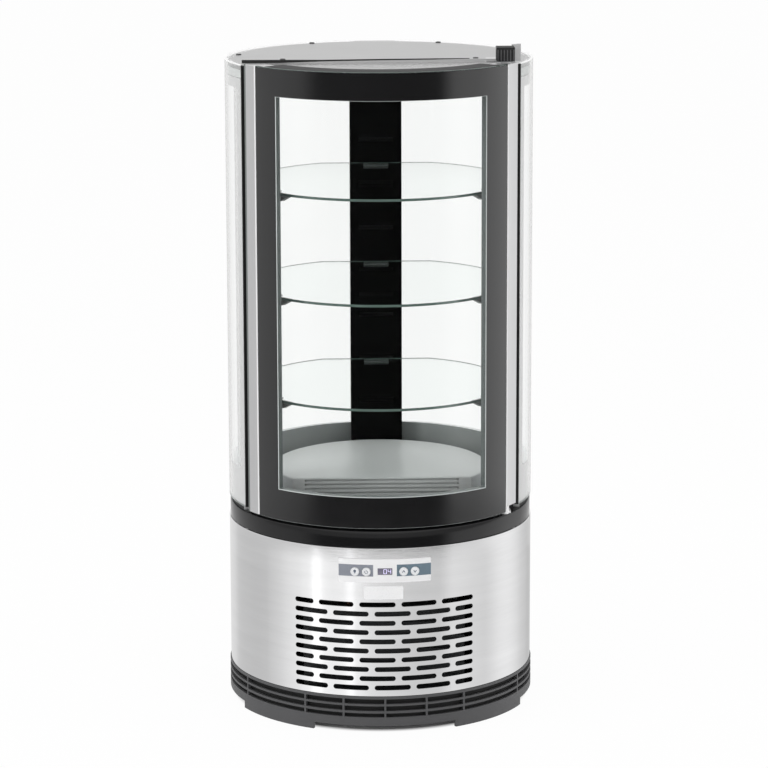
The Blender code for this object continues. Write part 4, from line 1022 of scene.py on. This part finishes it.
def makeDoorFrame():
    low, high, front, back = leaf["low"], leaf["high"], leaf["stileFront"], leaf["back"]
    inside, innerX, radius = leaf["innerAngle"], leaf["stileInner"], leaf["stileRadius"]
    edge, joint = leaf["angle"] + leaf["joint"], inside + leaf["joint"]
    outline = [*arcPoints(leaf["outer"][1], edge, leaf["stileEdge"]), (leaf["stileCorner"], -back, 0),
               (innerX, -back, 0), polar(radius, joint), *arcPoints(front, joint, edge)]

    # faces beside the pane: a painted highlight along each stile's inner edge
    def paintedHighlight(centre, normal):
        return centre.xy.length > leaf["highlightRadius"] and angleOf(centre) < edge + leaf["highlightAngle"]

    # faces past the shade angle get a darker grey: painted shade on the stile's side
    def inShade(centre, normal):
        return centre.xy.length > leaf["shadeRadius"] and angleOf(centre) > leaf["shadeAngle"]

    stile = makePiece("hingeStile", stileFinish, addPlate, outline, leaf["hingeStileLow"], high)
    holes = startPiece("pinHoles")
    x, y = leaf["pin"]
    for start, end in leaf["pinHoleHeights"]:
        addRod(leaf["pinHole"], (x, y, start), (x, y, end), 24)
    cutAway(stile, closePiece(holes))
    softenEdges(stile, leaf["stileRounding"])
    # painted highlight: white facets along the hinge stile's inner edge
    paintFaces(stile, whiteRimAndHighlightFinish, paintedHighlight)
    fit(stile, "door", "satin_aluminium", "door_hinge_stile")
    mirrored = [(-x, y) for x, y, _ in reversed(outline)]
    grip = makePiece("handleStile", stileFinish, addPlate, mirrored, low, high)
    softenEdges(grip, leaf["stileRounding"])
    # painted highlight: white facets along the handle stile's inner edge
    paintFaces(grip, whiteRimAndHighlightFinish, paintedHighlight)
    # painted shade on the handle stile's side faces
    paintFaces(grip, clipGreyAndShadeFinish, inShade)
    fit(grip, "door", "satin_aluminium", "door_handle_stile")

    behind = innerX - leaf["railPlay"]
    curve = [*arcPoints(front, -inside, inside, 1.0), polar(radius, inside), (behind, -back, 0),
             (-behind, -back, 0), polar(radius, -inside)]
    for name, node, start, end in (("topRail", "door_top_rail", leaf["railTop"], high),
                                   ("bottomRail", "door_bottom_rail", low, leaf["railBottom"])):
        rail = makePiece(name, railFinish, addPlate, curve, start, end)
        softenEdges(rail, leaf["railRounding"])
        fit(rail, "door", "black_plastic", node)
    fit(makePiece("topJoint", rubberFinish, addWall, *leaf["topJoint"]), "door", "black_rubber")


makeDoorGlass()
makeDoorFrame()
print("door done")


# Hinge cap and bracket on top
hinge = {
    "capLow": (0.1742, -0.147, 1.028), "capHigh": (0.2022, -0.119, 1.0496), "slab": 0.0032, "core": 0.0026,
    "ribs": 6, "ribMargin": 0.002, "ribHalf": 0.0009, "ribSunk": 0.0003, "ribLift": 0.0006, "lap": 0.0004,
    "roundings": (0.0006, 0.0010, 0.0004),  # core, slab, ribs
    "foot": ((0.1611, -0.108, 1.0203), (0.2051, -0.084, 1.0277)), "front": -0.108,
    "armLow": 1.0247, "armHigh": 1.0277, "armHalf": 0.008, "armNose": 0.009, "armLap": 0.0003,
    "uprightLeft": 0.1995, "uprightRight": 0.2135, "uprightTop": 1.0515, "slope": 0.001, "plate": 0.003,
    "rounding": 0.0007, "pinRadius": 0.003, "pinHeights": (1.0115, 1.0262),
}


def makeHingeCap():
    (lowX, lowY, lowZ), (highX, highY, highZ) = hinge["capLow"], hinge["capHigh"]
    core, half, sunk, margin = (hinge[k] for k in ("core", "ribHalf", "ribSunk", "ribMargin"))
    coreRound, slabRound, ribRound = hinge["roundings"]
    slab = highZ - hinge["slab"]
    foot, head = lowZ + hinge["ribLift"], slab + hinge["lap"]
    cap = startPiece("hingeCap")
    addBlock((lowX + core, lowY + core, lowZ), (highX - core, highY - core, head), coreRound)
    addBlock((lowX, lowY, slab), (highX, highY, highZ), slabRound)
    pitch = (highX - lowX - 2 * margin) / (hinge["ribs"] - 1)
    for i in range(hinge["ribs"]):
        x, y = lowX + margin + i * pitch, lowY + margin + i * pitch
        addBlock((x - half, lowY + sunk, foot), (x + half, highY - sunk, head), ribRound)
        addBlock((lowX + sunk, y - half, foot), (highX - sunk, y + half, head), ribRound)
    closePiece(cap, capFinish)
    # the ribs' front faces are painted lighter grey: painted highlight on the ribs
    paintFaces(cap, skirtGreyAndRibHighlightFinish, lambda centre, normal: normal.y < -facing
               and centre.y < lowY + 2 * sunk and centre.z < slab)
    paintFaces(cap, rubberFinish, lambda centre, normal: normal.z > facing)
    fit(cap, "cabinet", "black_plastic", "top_hinge_cap")


def makeHingeBracket():
    (x, y), front, plate = leaf["pin"], hinge["front"], hinge["plate"]
    low, high, half = hinge["armLow"], hinge["armHigh"], hinge["armHalf"]
    left, right, top = hinge["uprightLeft"], hinge["uprightRight"], hinge["uprightTop"]
    bracket = makePiece("hingeBracket", hingeFinish, addBlock, *hinge["foot"])
    joinShape(bracket, addBlock, (x - half, y - hinge["armNose"], low),
              (x + half, front + hinge["armLap"], high))
    upright = startPiece("upright")
    drawOutline([(left, front - plate, low), (right, front - plate, low), (right, front - plate, top),
                 (left, front - plate, top - hinge["slope"])])
    pushOut((0, 2 * plate, 0))
    cutAway(bracket, closePiece(upright), "UNION")
    softenEdges(bracket, hinge["rounding"])
    pinLow, pinHigh = hinge["pinHeights"]
    joinShape(bracket, addRod, hinge["pinRadius"], (x, y, pinLow), (x, y, pinHigh), 24)
    smoothShade()
    fit(bracket, "cabinet", "brushed_steel", "top_hinge_bracket")


makeHingeCap()
makeHingeBracket()
print("hinges done")


# Finishes on the CAD pieces that stay
# the coils' fins and the base plate are near black as painted shade for the dark inside behind the slots
kept = {name: finish for finish, names in (
    (blackPlasticFinish, "base_plate power_inlet controller_box compressor condenser_fan drain_tray "
                         "evaporator_fan evaporator_fan_motor right_post left_post top_header bottom_sill"),
    (finShadeFinish, "condenser_coil evaporator_coil"), (paintedFinish, "fan_shroud"), (hingeFinish, "fan_motor"),
    (copperFinish, "refrigerant_line"), (deckFinish, "insulated_deck ceiling_panel"),
    (ductFinish, "duct_cover"), (lightFinish, "right_led_bar left_led_bar"), (rubberFinish, "door_gasket"),
    (clipGreyAndShadeFinish, "rear_bracket_1 rear_bracket_2 rear_bracket_3"), (bezelFinish, "bottom_hinge_bracket"),
) for name in names.split()}
for name, finish in kept.items():
    mesh = nodes[name].data
    if not mesh.materials:
        mesh.materials.append(finish)
    for i in range(len(mesh.materials)):
        mesh.materials[i] = finish
left = [name for name, node in nodes.items() if not node.hide_render and name not in kept]
print("finished", len(kept), "CAD pieces; left over:", left)


# Studio: floor, the room that reflections show, lamps and camera
studio = {
    "floorSize": 60.0, "floorColour": (0.90, 0.90, 0.90), "floorRough": 0.6, "floorGlow": 0.96,
    "worldStrength": 0.62, "under": (0.222, 0.236),  # the floor doesn't glow under the case
    "splits": ((-0.2562, -0.2545), (-0.2460, -0.2380)),  # heights where one room gives way to the next
    "sky": ((0.0, 0.03), 0.50), "lamp": ((0.125, 0.150), 1.0), "roomPeak": 1.6,
}
# brightness of the room by direction: degrees from the front towards +X, and a value where 1 is white
lowRoom = (
    (-180, 0.80), (-151, 0.80), (-141, 0.70), (-121, 0.66), (-104, 0.66), (-96, 0.71), (-80, 0.875),
    (-64, 1.04), (-57, 1.16), (-51, 1.42), (-46, 1.22), (-41, 1.12), (-34, 1.11), (-29, 1.17), (-24, 1.32),
    (-20, 1.12), (-15, 1.02), (-8, 0.91), (9, 0.82), (22, 0.76), (40, 0.74), (45, 0.76), (52, 0.87),
    (58, 0.90), (80, 0.83), (89, 0.85), (102, 0.99), (118, 0.985), (132, 0.82), (148, 0.667), (160, 0.60),
    (180, 0.70),
)
middleRoom = (
    (-180, 0.80), (-151, 0.80), (-141, 0.70), (-121, 0.66), (-96, 0.68), (-75, 0.60), (-60, 0.40),
    (-48, 0.14), (-20, 0.07), (35, 0.07), (46, 0.20), (56, 0.60), (80, 0.83), (102, 0.99), (118, 0.985),
    (132, 0.82), (148, 0.667), (180, 0.70),
)
highRoom = (
    (-180, 0.85), (-110, 0.74), (-90, 0.72), (-75, 0.70), (-60, 0.55), (-48, 0.14), (-20, 0.07), (35, 0.07),
    (46, 0.25), (56, 1.0), (80, 1.2), (104, 1.34), (118, 1.15), (132, 0.85), (180, 0.85),
)
lamps = (  # name, place, aimed at, size, power
    ("topSoftbox", (0.0, -0.6, 4.2), (0.0, 0.0, 0.6), (3.2, 3.2), 52.0),
    ("leftSoftbox", (-3.6, -1.6, 1.7), (0.0, 0.0, 0.55), (1.5, 2.6), 46.0),
    ("rightSoftbox", (3.8, -1.0, 1.6), (0.0, 0.0, 0.55), (1.1, 2.4), 20.0),
)
view = {
    "turn": -1.7, "distance": 5.213, "height": 1.613, "tilt": 11.31, "lens": 157.5, "sensor": 36.0,
    "shiftX": 0.0057, "shiftY": -0.057, "roll": -0.17,
}
white = (1, 1, 1, 1)


def seenPlainly(tree, path):  # the camera, mirrors and glass see white
    seen = addMath(tree, "MAXIMUM", path["Is Camera Ray"], path["Is Glossy Ray"])
    return addMath(tree, "MAXIMUM", seen, path["Is Transmission Ray"])


def isMirrored(tree, path):  # a ray that has been reflected at least once
    return addMath(tree, "GREATER_THAN", path["Glossy Depth"], 0.5)


def makeFloor():
    deselectAll()
    bpy.ops.mesh.primitive_plane_add(size=studio["floorSize"], location=(0, 0, 0))
    floor = bpy.context.object
    floor.name = "studioFloor"
    finish, tree, shader, place = startFinish("floorWhite")
    feed(tree, shader, {"Base Color": (*studio["floorColour"], 1), "Roughness": studio["floorRough"]})
    glow = addNode(tree, "Emission", {"Color": white}).outputs["Emission"]
    path = addNode(tree, "LightPath").outputs
    away = addNode(tree, "VectorMath", {0: place}, operation="LENGTH").outputs["Value"]
    share = addMath(tree, "MULTIPLY", seenPlainly(tree, path), addRange(tree, away, *studio["under"]))
    share = addMath(tree, "MULTIPLY", share, studio["floorGlow"])
    plain = mixShaders(tree, share, shader.outputs["BSDF"], glow)
    # reflections pass through the floor and show the room
    clear = addNode(tree, "BsdfTransparent").outputs["BSDF"]
    surface = mixShaders(tree, isMirrored(tree, path), plain, clear)
    feed(tree, tree.nodes["Material Output"], {"Surface": surface})
    floor.data.materials.append(finish)


def addRoom(tree, turn, stops):  # brightness round the room as a soft ramp
    ramp = addNode(tree, "ValToRGB", {"Fac": turn})
    ramp.color_ramp.interpolation = "CARDINAL"
    while len(ramp.color_ramp.elements) < len(stops):
        ramp.color_ramp.elements.new(0.5)
    for element, (angle, value) in zip(ramp.color_ramp.elements, stops):
        element.position = angle / 360 + 0.5
        element.color = (*[value / studio["roomPeak"]] * 3, 1)
    return ramp.outputs["Color"]


def makeWorld():
    world = bpy.context.scene.world or bpy.data.worlds.new("studio")
    bpy.context.scene.world = world
    world.use_nodes = True
    tree = world.node_tree
    ground = tree.nodes["Background"]
    feed(tree, ground, {"Color": white, "Strength": studio["worldStrength"]})
    plainWhite = addNode(tree, "Background", {"Color": white}).outputs["Background"]
    path = addNode(tree, "LightPath").outputs
    plain = mixShaders(tree, seenPlainly(tree, path), ground.outputs["Background"], plainWhite)

    direction = addNode(tree, "TexCoord").outputs["Generated"]
    parts = addNode(tree, "SeparateXYZ", {"Vector": direction}).outputs
    turn = addMath(tree, "ARCTAN2", parts["X"], addMath(tree, "MULTIPLY", parts["Y"], -1.0))
    turn = addRange(tree, turn, -pi, pi)
    colour = addRoom(tree, turn, lowRoom)
    for split, room in zip(studio["splits"], (middleRoom, highRoom)):
        colour = blendColours(tree, addRange(tree, parts["Z"], *split), colour, addRoom(tree, turn, room))
    for heights, value in (studio["sky"], studio["lamp"]):
        grey = value / studio["roomPeak"]
        colour = blendColours(tree, addRange(tree, parts["Z"], *heights), colour, (grey, grey, grey, 1))
    room = addNode(tree, "Background", {"Color": colour, "Strength": studio["roomPeak"]})
    surface = mixShaders(tree, isMirrored(tree, path), plain, room.outputs["Background"])
    feed(tree, tree.nodes["World Output"], {"Surface": surface})


def makeLamps():
    for name, place, aim, size, power in lamps:
        light = bpy.data.lights.new(name, "AREA")
        light.shape = "RECTANGLE"
        light.size, light.size_y = size
        light.energy = power
        lamp = bpy.data.objects.new(name, light)
        bpy.context.scene.collection.objects.link(lamp)
        lamp.location = place
        lamp.rotation_euler = (Vector(aim) - Vector(place)).to_track_quat("-Z", "Y").to_euler()
        lamp.visible_camera = lamp.visible_glossy = lamp.visible_transmission = False


def makeCamera():
    data = bpy.data.cameras.new("studioCamera")
    data.lens, data.sensor_width = view["lens"], view["sensor"]
    data.shift_x, data.shift_y = view["shiftX"], view["shiftY"]
    camera = bpy.data.objects.new("studioCamera", data)
    bpy.context.scene.collection.objects.link(camera)
    turn = radians(view["turn"])
    camera.location = (sin(turn) * view["distance"], -cos(turn) * view["distance"], view["height"])
    camera.rotation_euler = (pi / 2 - radians(view["tilt"]), 0, turn)
    camera.rotation_euler.rotate_axis("Z", radians(view["roll"]))
    bpy.context.scene.camera = camera


makeFloor()
makeWorld()
makeLamps()
makeCamera()
bpy.context.scene.view_settings.view_transform = "Standard"
print("studio done")

deselectAll()
